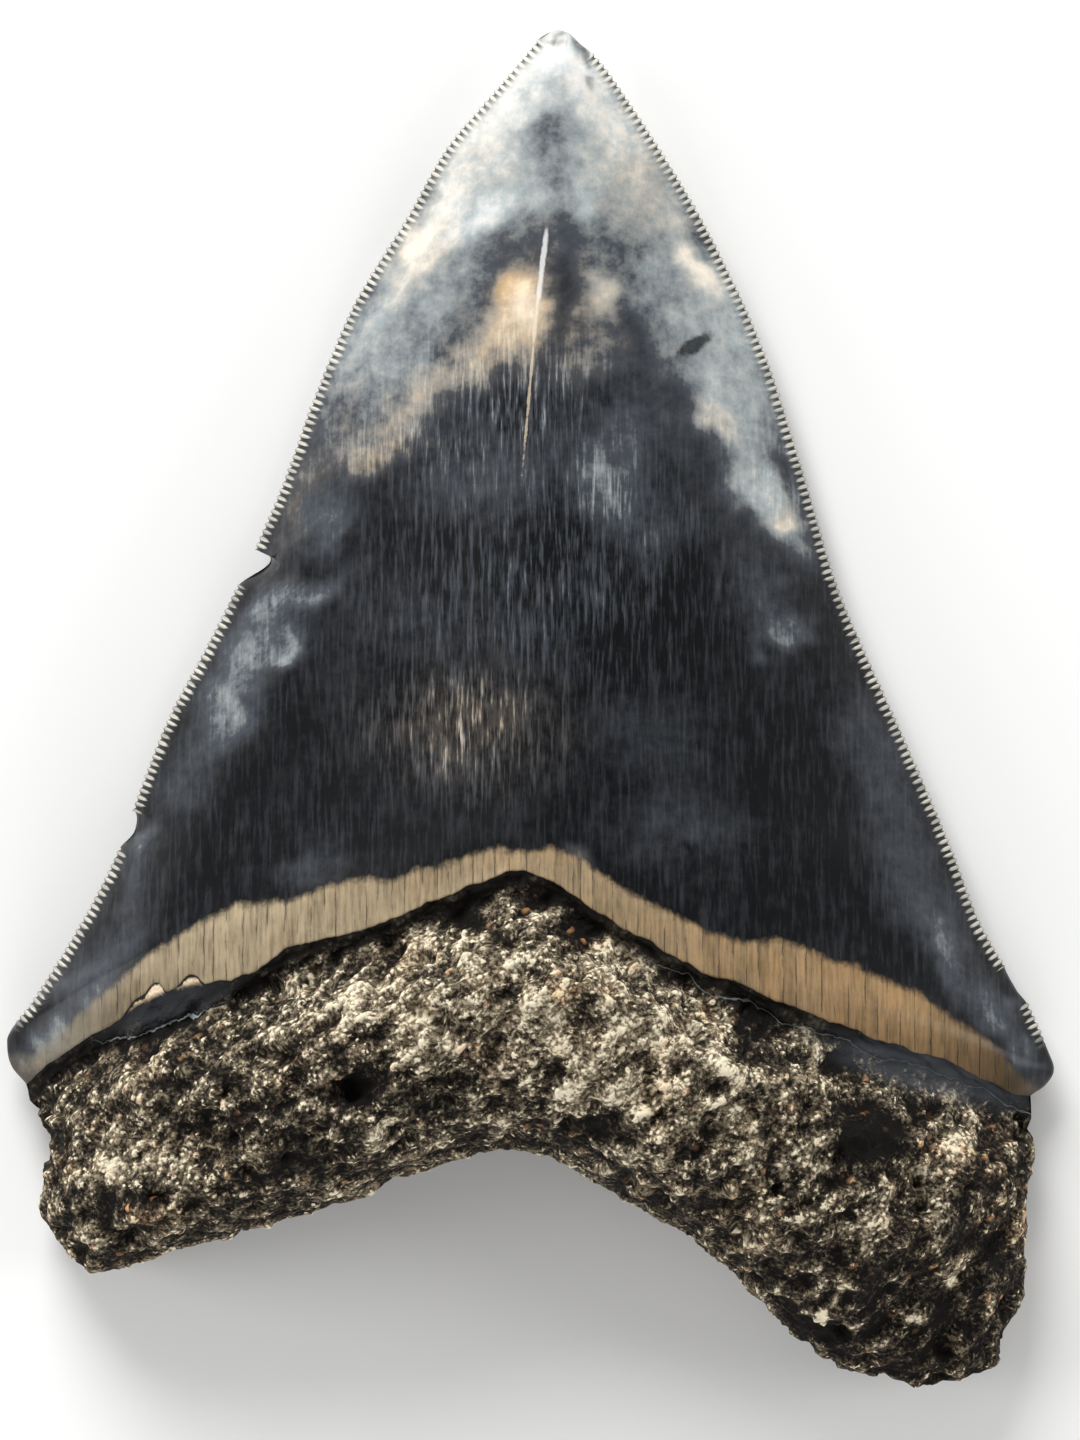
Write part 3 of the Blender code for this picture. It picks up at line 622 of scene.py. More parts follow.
def flakes(x, below):
    """Height of the thin broken layers under the enamel's end, distance past each, and the plate."""
    height = np.zeros_like(x)
    plate = np.exp(-((x - PLATE_PLACE) / PLATE_REACH) ** 4)
    past = []
    for k, (reach, step, wide) in enumerate(FLAKES):
        edge = reach + wide * plate
        edge += (0.9 - 0.5 * plate) * grain(x, below * 0.4, 5.0, 11.0 + k)
        edge += (0.7 - 0.5 * plate) * grain(x, below * 0.5, 1.6, 13.0 + k)
        edge += 0.25 * grain(x, below, 0.6, 15.0 + k)
        height += step * ease((edge - below) / 0.2)
        past.append(below - edge)
    return height, past, plate


def lift_root(x, y, face, form):
    """Places in millimetres of the root's points, with their masks."""
    s, v = root_layout(x, y, face)
    plan = np.empty((len(x), 2))
    for side, neck in necks.items():
        on = face == side
        so, vo = s[on, None], v[on, None]
        left = left_side(vo) - (1 - vo) * lower_edge(0) - vo * neck(0)
        right = right_side(vo) - (1 - vo) * lower_edge(1) - vo * neck(1)
        plan[on] = (1 - vo) * lower_edge(so) + vo * neck(so) + (1 - so) * left + so * right
    px, py = plan.T
    lingual = face > 0
    ends = [np.interp(px, *necks[side].line.T) for side in (LINGUAL, LABIAL)]
    end = np.where(lingual, *ends)
    straight = np.clip(end - py, 0, 60)
    ragged = raggedness(px) * np.where(lingual, ENAMEL_RAGGED, LABIAL_RAGGED)
    ragged *= ease(np.minimum(s, 1 - s) / 0.02)
    plan[:, 1] += ragged * ease((v - 0.88) / 0.12)
    below = np.clip(end + ragged - plan[:, 1], 0, 60)
    border = distance_to_line(plan, root_border)
    arch = np.clip(1 - (px / LEFT_SIDE[-1][0]) ** 2, 0, 1)
    edge = EDGE_HEIGHT + (ARCH_EDGE_HEIGHT - EDGE_HEIGHT) * arch
    thick = SHOULDER_THICKNESS + (ROOT_THICKNESS - SHOULDER_THICKNESS) * (1 - (2 * s - 1) ** 2)
    thick *= 1 - LOBE_THINNING * ease((LOBE_THINS_FROM - py) / LOBE_THINS_OVER)
    rounded = quarter_round(border / (EDGE_ROUNDING * thick))
    height = edge + (thick - edge) * rounded + root_relief(px, py) * rounded
    foot = crown_height(s, np.zeros_like(s), face)[1]
    layers, past, plate = flakes(px, straight)
    sides = ease(np.minimum(s, 1 - s) / 0.03)
    under = foot - (form.enamel_ledge / MM - layers + LAYERS_SUNK) * sides
    height += (under - height) * ease((v - NECK_FROM) / (NECK_FLAT - NECK_FROM))
    dish = ((px - DISH_PLACE[0]) / DISH_SIZE[0]) ** 2 + ((py - DISH_PLACE[1]) / DISH_SIZE[1]) ** 2
    back = edge * (1 - quarter_round(border / (LABIAL_ROUNDING * edge))) + DISH_DEPTH * ease(1 - dish)
    back += (foot + LABIAL_LEDGE - back) * ease((v - LABIAL_NECK_FROM) / (NECK_FLAT - LABIAL_NECK_FROM))
    masks = {
        "root": np.ones_like(x), "inward": np.full_like(x, 20), "below": below, "layer": past[0],
        "ledge": past[1], "plate": plate * lingual * sides,
        "notch": np.clip((plan[:, 1] - end) / 0.4, 0, 1) * plate * lingual,
    }
    return np.column_stack([plan, np.where(lingual, height, np.maximum(back, 0))]), masks


def painted(x, y, strokes, start):
    """Tone and warmth of points from soft oval patches whose borders are warped by noise."""
    tone, warmth = (np.full_like(x, value) for value in start)
    wx = x + 1.6 * grain(x, y, 4.5, 21.0) + 0.7 * grain(x, y, 1.6, 22.0)
    wy = y + 2.4 * grain(x, y, 5.5, 23.0) + 1.0 * grain(x, y, 1.8, 24.0)
    for px, py, along, across, turn, patch_tone, patch_warmth, strength in strokes:
        cover = strength * np.exp(-patch_distance(wx, wy, px, py, along, across, turn) ** 2.4)
        tone += (patch_tone - tone) * cover
        warmth += (patch_warmth - warmth) * cover
    return tone, warmth


def mesh_places(mesh):
    places = np.empty(len(mesh.vertices) * 3)
    mesh.vertices.foreach_get("co", places)
    return places.reshape(-1, 3)


def select_only(thing):
    deselect_all()
    thing.select_set(True)
    bpy.context.view_layer.objects.active = thing


def shaped_tooth(pattern, form):
    """Places in millimetres of the pattern's points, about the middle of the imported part, and masks."""
    x, y, face = pattern[:, 0], pattern[:, 1], np.sign(pattern[:, 2])
    crown = y > -0.01
    places = np.empty((len(x), 3))
    masks = {name: np.zeros(len(x)) for name in MASKS}
    for part, lift in ((crown, lift_crown), (~crown, lift_root)):
        places[part], found = lift(x[part], y[part], face[part], form)
        for name, values in found.items():
            masks[name][part] = values
    middle = (places.min(0) + places.max(0)) / 2
    box_middle = np.array((TOOTH_LOW + TOOTH_HIGH) / 2) / MM
    places[:, :2] += (box_middle - middle)[:2]
    masks["lingual"] = (face > 0).astype(float)
    return places, masks


def paint_masks(places, masks):
    """Fill in the masks that only colour the tooth or keep its grain off the smooth strip."""
    x, y = places[:, 0], places[:, 1]
    lingual = masks["lingual"] > 0
    root = masks["root"] > 0

    # The labial face has the lingual one's clouds, mirrored about the crown's middle line
    middle_line = TIP_LEAN * np.clip((y - CROWN_FOOT) / CROWN_LENGTH, 0, 1)
    painted_x = np.where(lingual, x, 2 * middle_line - x)
    masks["tone"], masks["warmth"] = painted(painted_x, y, CROWN_STROKES, CROWN_START)
    masks["tone"][root], masks["warmth"][root] = painted(x[root], y[root], ROOT_STROKES, ROOT_START)
    # Painted shade in the root's pits
    for px, py, reach, _ in PITS:
        inside = np.exp(-((x - px) ** 2 + (y - py) ** 2) / (0.8 * reach) ** 2)
        masks["tone"] -= PIT_SHADE * inside * masks["root"]
    band_top = np.interp(x, *np.array(BAND_TOP).T)
    labial_band_top = np.interp(x, *necks[LABIAL].line.T) + LABIAL_BAND
    masks["band"] = y - np.where(lingual, band_top, labial_band_top)
    masks["streaky"] = 0.015 + 0.06 * ease((36 - y) / 16)
    for px, py, along, wide, strength in STREAKY_ZONES:
        zone = strength * np.exp(-patch_distance(x, y, px, py, along, wide, 0) ** 2)
        masks["streaky"] = np.maximum(masks["streaky"], zone)
    masks["smooth"] = 0.7 * lingual * ease(1.6 - patch_distance(x, y, *SMOOTH_STRIP)) * masks["root"]
    masks["rough"] = masks["root"] * ease((masks["below"] - 0.4) / 2.2) * (1 - masks["smooth"])


def add_node(tree, kind, *values, inputs=None, output=0, stops=(), **settings):
    """Add a node with its settings, inputs and colour stops, and return the socket of one output.

    Each input is a value, or a socket to link to: the first ones in order, the others by name or place.
    """
    node = tree.nodes.new(kind)
    for key, value in settings.items():
        setattr(node, key, value)
    for key, value in [*enumerate(values), *(inputs or {}).items()]:
        if isinstance(value, bpy.types.NodeSocket):
            tree.links.new(value, node.inputs[key])
        else:
            node.inputs[key].default_value = value
    for position, _ in stops[2:]:
        node.color_ramp.elements.new(position)
    for k, (position, shade) in enumerate(stops):
        node.color_ramp.elements[k].position = position
        node.color_ramp.elements[k].color = shade
    return node.outputs[output]


def stone_grain(put, seat):
    """Grit, clumps, lumps, hollows, chips and grains of the root, shared by its relief and colours.

    Clumps, lumps, chips and grains are drawn out at the slant that the root's fibres have.
    """
    turned = put(
        "ShaderNodeVectorRotate", inputs={"Vector": seat, "Angle": -GRAIN_SLANT}, rotation_type="Z_AXIS")
    drawn = put("ShaderNodeVectorMath", turned, (1 / GRAIN_STRETCH, 1.0, 1.0), operation="MULTIPLY")
    swirl = put("ShaderNodeTexNoise", inputs={"Vector": drawn, "Scale": 1 / SWIRL_SIZE}, output="Color")
    swirl = put("ShaderNodeVectorMath", swirl, (0.5, 0.5, 0.5), operation="SUBTRACT")
    place = put("ShaderNodeVectorMath", swirl, (0.3, 0.3, 0.3), drawn, operation="MULTIPLY_ADD")
    parts = {}
    for name, where, size, detail, roughness in (
            ("grit", seat, GRIT_SIZE, 2.0, 0.7), ("clumps", drawn, CLUMP_SIZE, 2.0, 0.55),
            ("lumps", drawn, LUMP_SIZE, 2.0, 0.5), ("hollows", seat, LUMP_SIZE, 1.0, 0.5)):
        parts[name] = put("ShaderNodeTexNoise", inputs={
            "Vector": where, "Scale": 1 / size, "Detail": detail, "Roughness": roughness})
    for name, size in (("chips", CHIP_SIZE), ("grains", GRAIN_SIZE)):
        cells = {"Vector": place, "Scale": 1 / size}
        own_shade = put("ShaderNodeTexVoronoi", inputs=cells, output="Color")
        pale = put("ShaderNodeSeparateXYZ", own_shade, output="X")
        pale = put("ShaderNodeMath", pale, 2.4, operation="POWER")
        off_middle = put("ShaderNodeTexVoronoi", inputs=cells, output="Distance")
        shape = put("ShaderNodeMapRange", off_middle, 0.55, 0.2, interpolation_type="SMOOTHSTEP")
        parts[name] = put("ShaderNodeMath", pale, shape, operation="MULTIPLY")

    # A second chance value of each grain, by which a few are rusty
    parts["kind"] = put("ShaderNodeSeparateXYZ", own_shade, output="Y")
    return parts


def roughen(skin, form):
    """Raise the root's grains and lumps and sink its hollows, in the pattern of their colours."""
    tree = bpy.data.node_groups.new("root relief", "GeometryNodeTree")
    for way in ("INPUT", "OUTPUT"):
        tree.interface.new_socket("Geometry", in_out=way, socket_type="NodeSocketGeometry")
    put = functools.partial(add_node, tree)
    seat = put("GeometryNodeInputNamedAttribute", inputs={"Name": "seat"}, data_type="FLOAT_VECTOR")
    rough = put("GeometryNodeInputNamedAttribute", inputs={"Name": "rough"}, data_type="FLOAT")
    stone = stone_grain(put, seat)
    relief = -RELIEF_MIDDLE
    for pattern, height in ((stone["clumps"], 1.3), (stone["lumps"], 1.4), (stone["grains"], 0.35)):
        relief = put("ShaderNodeMath", pattern, height, relief, operation="MULTIPLY_ADD")
    sunk = put(
        "ShaderNodeMapRange", stone["hollows"], 0.58, 0.72, 0.0, -0.9, interpolation_type="SMOOTHSTEP")
    relief = put("ShaderNodeMath", relief, sunk, operation="ADD")
    relief = put("ShaderNodeMath", relief, rough, operation="MULTIPLY")
    shift = put("ShaderNodeMath", relief, MM * form.root_roughness, operation="MULTIPLY")
    normal = put("GeometryNodeInputNormal")
    offset = put("ShaderNodeVectorMath", normal, inputs={"Scale": shift}, operation="SCALE")
    moved = put("GeometryNodeSetPosition", inputs={"Geometry": put("NodeGroupInput"), "Offset": offset})
    tree.links.new(moved, tree.nodes.new("NodeGroupOutput").inputs[0])
    skin.modifiers.new("root relief", "NODES").node_group = tree
    select_only(skin)
    bpy.ops.object.modifier_apply(modifier="root relief")


def linear(code):
    """Turn an sRGB hex value into linear red, green and blue."""
    values = [int(code[k:k + 2], 16) / 255 for k in (1, 3, 5)]
    return tuple(v / 12.92 if v <= 0.04045 else ((v + 0.055) / 1.055) ** 2.4 for v in values)


def colour(name, code, description):
    return FloatVectorProperty(name=name, description=description, default=linear(code),
                               subtype="COLOR", size=3, min=0.0, max=1.0)


class FossilToothForm(bpy.types.PropertyGroup):
    serration_depth: FloatProperty(
        name="Serration depth", description="How far a serration stands out of the cutting edge",
        default=SERRATION_DEPTH * MM, min=0.0, max=1.0 * MM, unit="LENGTH")
    enamel_ledge: FloatProperty(
        name="Enamel ledge", description="Thickness of the enamel where it ends above the root",
        default=ENAMEL_LEDGE * MM, min=0.0, max=1.5 * MM, unit="LENGTH")
    root_roughness: FloatProperty(
        name="Root roughness", description="Relief of the root's grain against that of the real one",
        default=1.0, min=0.0, max=2.0, subtype="FACTOR")


class FossilToothColours(bpy.types.PropertyGroup):
    black: colour("Enamel black", "#101113", "Darkest enamel")
    slate: colour("Enamel slate", "#464A50", "Bluish dark enamel")
    cloud: colour("Enamel cloud", "#A3ABAC", "Pale blue-grey clouds in the enamel")
    white: colour("Enamel white", "#F0F0EE", "Whitest enamel near the tip")
    umber: colour("Enamel umber", "#171411", "Darkest warm enamel")
    olive: colour("Enamel olive", "#554A3B", "Brownish enamel")
    tan: colour("Enamel tan", "#BD9E76", "Tan streaks in the enamel")
    cream: colour("Enamel cream", "#F6E4C6", "Cream rims and blaze")
    band: colour("Band", "#AA9A7E", "Cream band along the enamel's end")
    band_tan: colour("Band tan", "#A88860", "Tan parts of that band")
    root_black: colour("Root black", "#0F0C0A", "Hollows of the root")
    root_brown: colour("Root brown", "#3B342A", "Dark stone of the root")
    root_tan: colour("Root tan", "#887C66", "Middle grains of the root")
    root_ivory: colour("Root ivory", "#E9DDC2", "Palest grains of the root")
    rust: colour("Rust", "#CB9566", "Rusty stains and grains")
    plate: colour("Layer", "#26272A", "Smooth dark layer that shows under the enamel's end")
    ridge: colour("Serration", "#D6D1C4", "Worn pale ridges of the serrations")
    # Painted shadow in the gaps between the serrations
    gap: colour("Gap", "#1B1A18", "Dark gaps between the serrations")


class FossilToothStudio(bpy.types.PropertyGroup):
    floor: colour("Floor", "#F4F4F3", "Plain pale floor")
    key_power: FloatProperty(
        name="Key power", description="Power of the key light", default=11.5, min=0.0, unit="POWER")
    fill_power: FloatProperty(
        name="Fill power", description="Power of each fill light", default=4.0, min=0.0, unit="POWER")
    world: FloatProperty(
        name="World", description="Brightness of the room around the tooth", default=0.3, min=0.0)


# Settings of a node that mixes two colours, and the place of its result
MIXED = {"data_type": "RGBA", "output": 2}


def enamel_patterns(put, seat):
    """Clouds, mottles, upright fibres and finer hairs of the enamel."""
    parts = {}
    for name, across, along, detail, roughness in (
            ("clouds", CLOUD_SIZE, CLOUD_SIZE, 4.0, 0.62), ("mottles", MOTTLE_SIZE, MOTTLE_SIZE, 5.0, 0.68),
            ("fibres", *FIBRE_SIZE, 3.0, 0.6), ("hairs", *HAIR_SIZE, 1.0, 0.5)):
        place = put("ShaderNodeMapping", inputs={"Vector": seat, "Scale": (1 / across, 1 / along, 1 / along)})
        parts[name] = put("ShaderNodeTexNoise", inputs={
            "Vector": place, "Scale": 1.0, "Detail": detail, "Roughness": roughness})
    return SimpleNamespace(**parts)


def enamel_colour(put, masks, drawn, paint):
    """Clouded enamel: black, slate, blue-grey and white, or brown, tan and cream where it is warm."""
    swing = put("ShaderNodeMath", drawn.mottles, 2.0, -1.8, operation="MULTIPLY_ADD")
    swing = put("ShaderNodeMath", drawn.clouds, 1.6, swing, operation="MULTIPLY_ADD")
    lively = put("ShaderNodeMath", 1.0, masks.tone, operation="SUBTRACT")
    lively = put("ShaderNodeMath", lively, masks.tone, operation="MULTIPLY")
    tone = put("ShaderNodeMath", swing, lively, masks.tone, operation="MULTIPLY_ADD")
    flecks = put("ShaderNodeMapRange", drawn.fibres, 0.47, 0.72, -0.12)
    flecks = put("ShaderNodeMath", drawn.hairs, 0.7, flecks, operation="MULTIPLY_ADD")
    flecks = put("ShaderNodeMath", flecks, 0.36, operation="SUBTRACT")
    tone = put("ShaderNodeMath", flecks, masks.streaky, tone, operation="MULTIPLY_ADD")
    cool = put("ShaderNodeValToRGB", tone, stops=[
        (0.05, paint.black), (0.32, paint.slate), (0.65, paint.cloud), (0.95, paint.white)])
    warm = put("ShaderNodeValToRGB", tone, stops=[
        (0.05, paint.umber), (0.3, paint.olive), (0.65, paint.tan), (0.92, paint.cream)])
    warmth = put("ShaderNodeMath", masks.warmth, 0.45, operation="SUBTRACT")
    warmth = put("ShaderNodeMath", drawn.mottles, 0.9, warmth, operation="MULTIPLY_ADD", use_clamp=True)
    return put("ShaderNodeMix", inputs={0: warmth, 6: cool, 7: warm}, **MIXED)


def with_scratches(put, enamel, seat, masks, drawn, paint):
    """Lay the long pale scratch and the short dark scar over the lingual face."""
    uneven = put("ShaderNodeMath", drawn.mottles, 0.5, operation="SUBTRACT")
    for (x, y, along, wide, turn), shade, strength, ragged in (
            (SCRATCH_BLADE, paint.white, 0.6, 1.6), (SCRATCH_TAIL, paint.cream, 0.4, 3.0),
            (SCAR, paint.black, 0.85, 1.0)):
        reach = put("ShaderNodeMapping", vector_type="TEXTURE", inputs={
            "Vector": seat, "Location": (x, y, 10.0), "Rotation": (0, 0, math.radians(turn)),
            "Scale": (along, wide, 100.0)})
        reach = put("ShaderNodeVectorMath", reach, output="Value", operation="LENGTH")
        reach = put("ShaderNodeMath", uneven, ragged, reach, operation="MULTIPLY_ADD")
        cover = put(
            "ShaderNodeMapRange", reach, 1.15, 0.55, 0.0, strength, interpolation_type="SMOOTHSTEP")
        cover = put("ShaderNodeMath", cover, masks.lingual, operation="MULTIPLY")
        enamel = put("ShaderNodeMix", inputs={0: cover, 6: enamel, 7: shade}, **MIXED)
    return enamel


def with_band(put, enamel, across, masks, drawn, paint):
    """Lay the band of thinner, cream to tan enamel along its end; also return its upright cracks."""
    crack_place = put("ShaderNodeMath", drawn.mottles, 0.4, across, operation="MULTIPLY_ADD")
    cells = {"W": crack_place, "Scale": 1 / CRACK_SPACING}
    crack = put("ShaderNodeTexVoronoi", inputs=cells, voronoi_dimensions="1D", feature="DISTANCE_TO_EDGE")
    panel = put("ShaderNodeTexVoronoi", inputs=cells, output="Color", voronoi_dimensions="1D")
    panel = put("ShaderNodeSeparateXYZ", panel)
    above = masks.band
    for pattern, weight in ((panel, 0.12), (crack, -0.25), (drawn.fibres, 0.5), (drawn.mottles, 1.4)):
        above = put("ShaderNodeMath", pattern, weight, above, operation="MULTIPLY_ADD")
    in_band = put("ShaderNodeMapRange", above, 1.5, 0.5, interpolation_type="SMOOTHSTEP")
    reddish = put("ShaderNodeMath", drawn.clouds, 60.0, across, operation="MULTIPLY_ADD")
    reddish = put("ShaderNodeMapRange", reddish, 10.0, 60.0)
    shaded = put("ShaderNodeMapRange", drawn.fibres, 0.4, 0.7, 0.0, 0.5)
    shaded = put("ShaderNodeMath", panel, 0.2, shaded, operation="MULTIPLY_ADD")
    shaded = put("ShaderNodeMath", drawn.mottles, 0.7, shaded, operation="MULTIPLY_ADD")
    shaded = put("ShaderNodeMath", shaded, 0.25, operation="SUBTRACT", use_clamp=True)
    broken = put("ShaderNodeMapRange", drawn.fibres, 0.42, 0.54)
    cracks = put("ShaderNodeMapRange", crack, 0.06, 0.02, 0.0, 0.6)
    for limit in (broken, in_band):
        cracks = put("ShaderNodeMath", cracks, limit, operation="MULTIPLY")
    band = paint.band
    for cover, shade in ((reddish, paint.band_tan), (shaded, paint.olive), (cracks, paint.umber)):
        band = put("ShaderNodeMix", inputs={0: cover, 6: band, 7: shade}, **MIXED)
    aside = put("ShaderNodeMath", across, operation="ABSOLUTE")
    faded = put("ShaderNodeMapRange", aside, 46.5, 36.0, 0.25)
    faded = put("ShaderNodeMath", in_band, faded, operation="MULTIPLY")
    return put("ShaderNodeMix", inputs={0: faded, 6: enamel, 7: band}, **MIXED), cracks


def with_serrations(put, enamel, masks, drawn, paint):
    """Lay the worn pale ridges of the serrations over the cutting edges, with painted shadow in the gaps
    between them.
    """
    beside = put("ShaderNodeMath", masks.phase, 0.5, operation="PINGPONG")
    beside = put("ShaderNodeMath", beside, 1 / RIDGE_WIDTH, operation="MULTIPLY")
    number = put("ShaderNodeMath", masks.phase, operation="FLOOR")
    chance = put("ShaderNodeTexWhiteNoise", inputs={"W": number}, output="Value", noise_dimensions="1D")
    shortness = put("ShaderNodeMath", chance, 0.7, 1.2, operation="MULTIPLY_ADD")
    length = put("ShaderNodeMath", masks.inward, shortness, -0.38, operation="MULTIPLY_ADD")
    oval = put("ShaderNodeMath", length, length, operation="MULTIPLY")
    oval = put("ShaderNodeMath", beside, beside, oval, operation="MULTIPLY_ADD")
    oval = put("ShaderNodeMath", drawn.mottles, 1.6, oval, operation="MULTIPLY_ADD")
    pale = put("ShaderNodeMapRange", oval, 2.3, 1.45)
    worn = put("ShaderNodeMath", chance, 0.4, 0.15, operation="MULTIPLY_ADD")
    ridge = put("ShaderNodeMix", inputs={0: worn, 6: paint.ridge, 7: enamel}, **MIXED)
    # Painted shadow in the gaps, darkest at the cutting edge and fading inward
    shallow = put("ShaderNodeMapRange", masks.inward, 0.15, 0.85, 0.12, 0.8)
    gap = put("ShaderNodeMix", inputs={0: shallow, 6: paint.gap, 7: enamel}, **MIXED)
    teeth = put("ShaderNodeMix", inputs={0: pale, 6: gap, 7: ridge}, **MIXED)
    at_edge = put("ShaderNodeMapRange", masks.inward, 1.15, 0.7)
    at_edge = put("ShaderNodeMath", at_edge, masks.serrated, operation="MULTIPLY")
    return put("ShaderNodeMix", inputs={0: at_edge, 6: enamel, 7: teeth}, **MIXED)


def root_colour(put, stone, across, masks, drawn, paint):
    """Grains of the root, each with its own shade, and what lies between them and the enamel's end."""
    level = put("ShaderNodeMapRange", stone["grit"], 0.36, 0.62, -0.27, 0.2)
    for pattern, weight in ((masks.tone, 1.0), (stone["clumps"], 1.2), (stone["lumps"], 0.9)):
        level = put("ShaderNodeMath", pattern, weight, level, operation="MULTIPLY_ADD")
    level = put("ShaderNodeMath", level, 1.2, operation="SUBTRACT")
    spots = put("ShaderNodeMath", stone["chips"], 1.2, stone["grains"], operation="MULTIPLY_ADD")
    gathered = put("ShaderNodeMapRange", level, 0.15, 0.6, 0.12, 0.8)
    level = put("ShaderNodeMath", spots, gathered, level, operation="MULTIPLY_ADD")
    rock = put("ShaderNodeValToRGB", level, stops=[
        (0.08, paint.root_black), (0.36, paint.root_brown), (0.68, paint.root_tan), (1.0, paint.root_ivory)])
    rusty = put("ShaderNodeMapRange", drawn.clouds, 0.5, 0.64)
    rusty = put("ShaderNodeMath", rusty, masks.warmth, operation="MULTIPLY", use_clamp=True)
    rock = put("ShaderNodeMix", inputs={0: rusty, 6: rock, 7: paint.rust}, blend_type="OVERLAY", **MIXED)
    warm = put("ShaderNodeMath", masks.warmth, 5.0, operation="MULTIPLY")
    orange = put("ShaderNodeMapRange", stone["kind"], 0.88, 0.92, 0.0, 0.8)
    orange = put("ShaderNodeMath", orange, stone["grains"], operation="MULTIPLY")
    orange = put("ShaderNodeMath", orange, warm, operation="MULTIPLY", use_clamp=True)
    # Black under the enamel's end: partly the dark layer there, partly painted shadow cast by the enamel's
    # ledge
    black_layer_and_shadow = put("ShaderNodeMath", drawn.clouds, 4.0, masks.below, operation="MULTIPLY_ADD")
    black_layer_and_shadow = put("ShaderNodeMapRange", black_layer_and_shadow, 4.9, 3.3, 0.0, 0.96)

    # The smooth dark layer, the shadow under its lip, and a painted highlight along the lip's chipped edge
    past_lip = put("ShaderNodeMath", drawn.mottles, 0.7, masks.layer, operation="MULTIPLY_ADD")
    on_layer = put("ShaderNodeMapRange", past_lip, 0.4, 0.3)
    on_layer = put("ShaderNodeMath", on_layer, masks.plate, operation="MULTIPLY")
    shadow = put("ShaderNodeMapRange", past_lip, 1.7, 1.0)
    shadow = put("ShaderNodeMath", shadow, masks.plate, operation="MULTIPLY")
    shadow = put("ShaderNodeMath", shadow, on_layer, operation="SUBTRACT", use_clamp=True)
    lip_highlight = put("ShaderNodeMath", past_lip, 0.36, 0.07, operation="COMPARE")
    lip_highlight = put("ShaderNodeMath", lip_highlight, masks.plate, operation="MULTIPLY")
    lip_highlight = put("ShaderNodeMath", lip_highlight, 0.8, operation="MULTIPLY")

    # Cream fill of the enamel's notches, with a dark rim
    inner = put("ShaderNodeMath", drawn.mottles, 1.2, masks.below, operation="MULTIPLY_ADD")
    inner = put("ShaderNodeMapRange", inner, 0.85, 1.05)
    inner = put("ShaderNodeMath", inner, masks.notch, operation="MULTIPLY")
    speckled = put("ShaderNodeMapRange", drawn.mottles, 0.4, 0.6)
    filling = put("ShaderNodeMix", inputs={0: speckled, 6: paint.tan, 7: paint.cream}, **MIXED)

    # A painted highlight along the edge of the next ledge, on the right
    ledge = put("ShaderNodeMath", drawn.mottles, 0.3, masks.ledge, operation="MULTIPLY_ADD")
    ledge = put("ShaderNodeMath", ledge, 0.15, 0.05, operation="COMPARE")
    on_right = put("ShaderNodeMapRange", across, 6.0, 12.0, 0.0, 0.45)
    ledge = put("ShaderNodeMath", ledge, on_right, operation="MULTIPLY")
    for cover, shade in (
            (orange, paint.rust), (black_layer_and_shadow, paint.root_black), (on_layer, paint.plate),
            (shadow, paint.root_black), (lip_highlight, paint.cloud), (inner, filling), (ledge, paint.cloud),
            (masks.smooth, paint.slate)):
        rock = put("ShaderNodeMix", inputs={0: cover, 6: rock, 7: shade}, **MIXED)
    return rock


def fossil_material(colours):
    """Fossil enamel over fossil dentine, polished by the sea on the crown and bare on the root.

    Enamel is dense apatite, so it has a satin gloss; it took up grey, blue and tan minerals in clouds
    and along its upright fibres. Dentine is porous, so the root is dull, grainy and black in its
    hollows, with pale grains. Its pits and lower edge are darker still with painted shade.
    """
    material = bpy.data.materials.new("fossil_enamel_and_root")
    material.use_nodes = True
    tree = material.node_tree
    put = functools.partial(add_node, tree)
    shader = tree.nodes["Principled BSDF"]
    paint = SimpleNamespace(**{name: (*getattr(colours, name), 1.0) for name in colours.__annotations__})
    masks = SimpleNamespace(**{
        name: put("ShaderNodeAttribute", output="Fac", attribute_name=name) for name in MASKS})
    seat = put("ShaderNodeAttribute", output="Vector", attribute_name="seat")
    across = put("ShaderNodeSeparateXYZ", seat, output="X")
    drawn = enamel_patterns(put, seat)
    stone = stone_grain(put, seat)

    enamel = enamel_colour(put, masks, drawn, paint)
    enamel = with_scratches(put, enamel, seat, masks, drawn, paint)
    enamel, cracks = with_band(put, enamel, across, masks, drawn, paint)
    enamel = with_serrations(put, enamel, masks, drawn, paint)
    rock = root_colour(put, stone, across, masks, drawn, paint)
    skin = put("ShaderNodeMix", inputs={0: masks.root, 6: enamel, 7: rock}, **MIXED)
    roughness = put("ShaderNodeMapRange", masks.root, 0.0, 1.0, 0.3, 0.8)

    # Fibres, hairs and cracks stand out by a few hundredths of a millimetre, the root's grains by more
    fine = put("ShaderNodeMath", drawn.fibres, 0.012, operation="MULTIPLY")
    for pattern, height in ((drawn.hairs, 0.004), (cracks, -0.06)):
        fine = put("ShaderNodeMath", pattern, height, fine, operation="MULTIPLY_ADD")
    coarse = put("ShaderNodeMath", stone["grit"], 0.2, operation="MULTIPLY")
    for pattern, height in ((stone["grains"], 0.2), (stone["chips"], 0.12), (stone["clumps"], 0.15)):
        coarse = put("ShaderNodeMath", pattern, height, coarse, operation="MULTIPLY_ADD")
    coarse = put("ShaderNodeMath", coarse, masks.rough, operation="MULTIPLY")
    relief = put("ShaderNodeMix", inputs={0: masks.root, 2: fine, 3: coarse}, data_type="FLOAT")
    bump = put("ShaderNodeBump", inputs={"Height": relief, "Strength": 1.0, "Distance": MM}, output="Normal")
    for name, value in (("Base Color", skin), ("Roughness", roughness), ("Normal", bump)):
        tree.links.new(value, shader.inputs[name])
    shader.inputs["IOR"].default_value = 1.55
    shader.inputs["Specular IOR Level"].default_value = 0.1
    return material


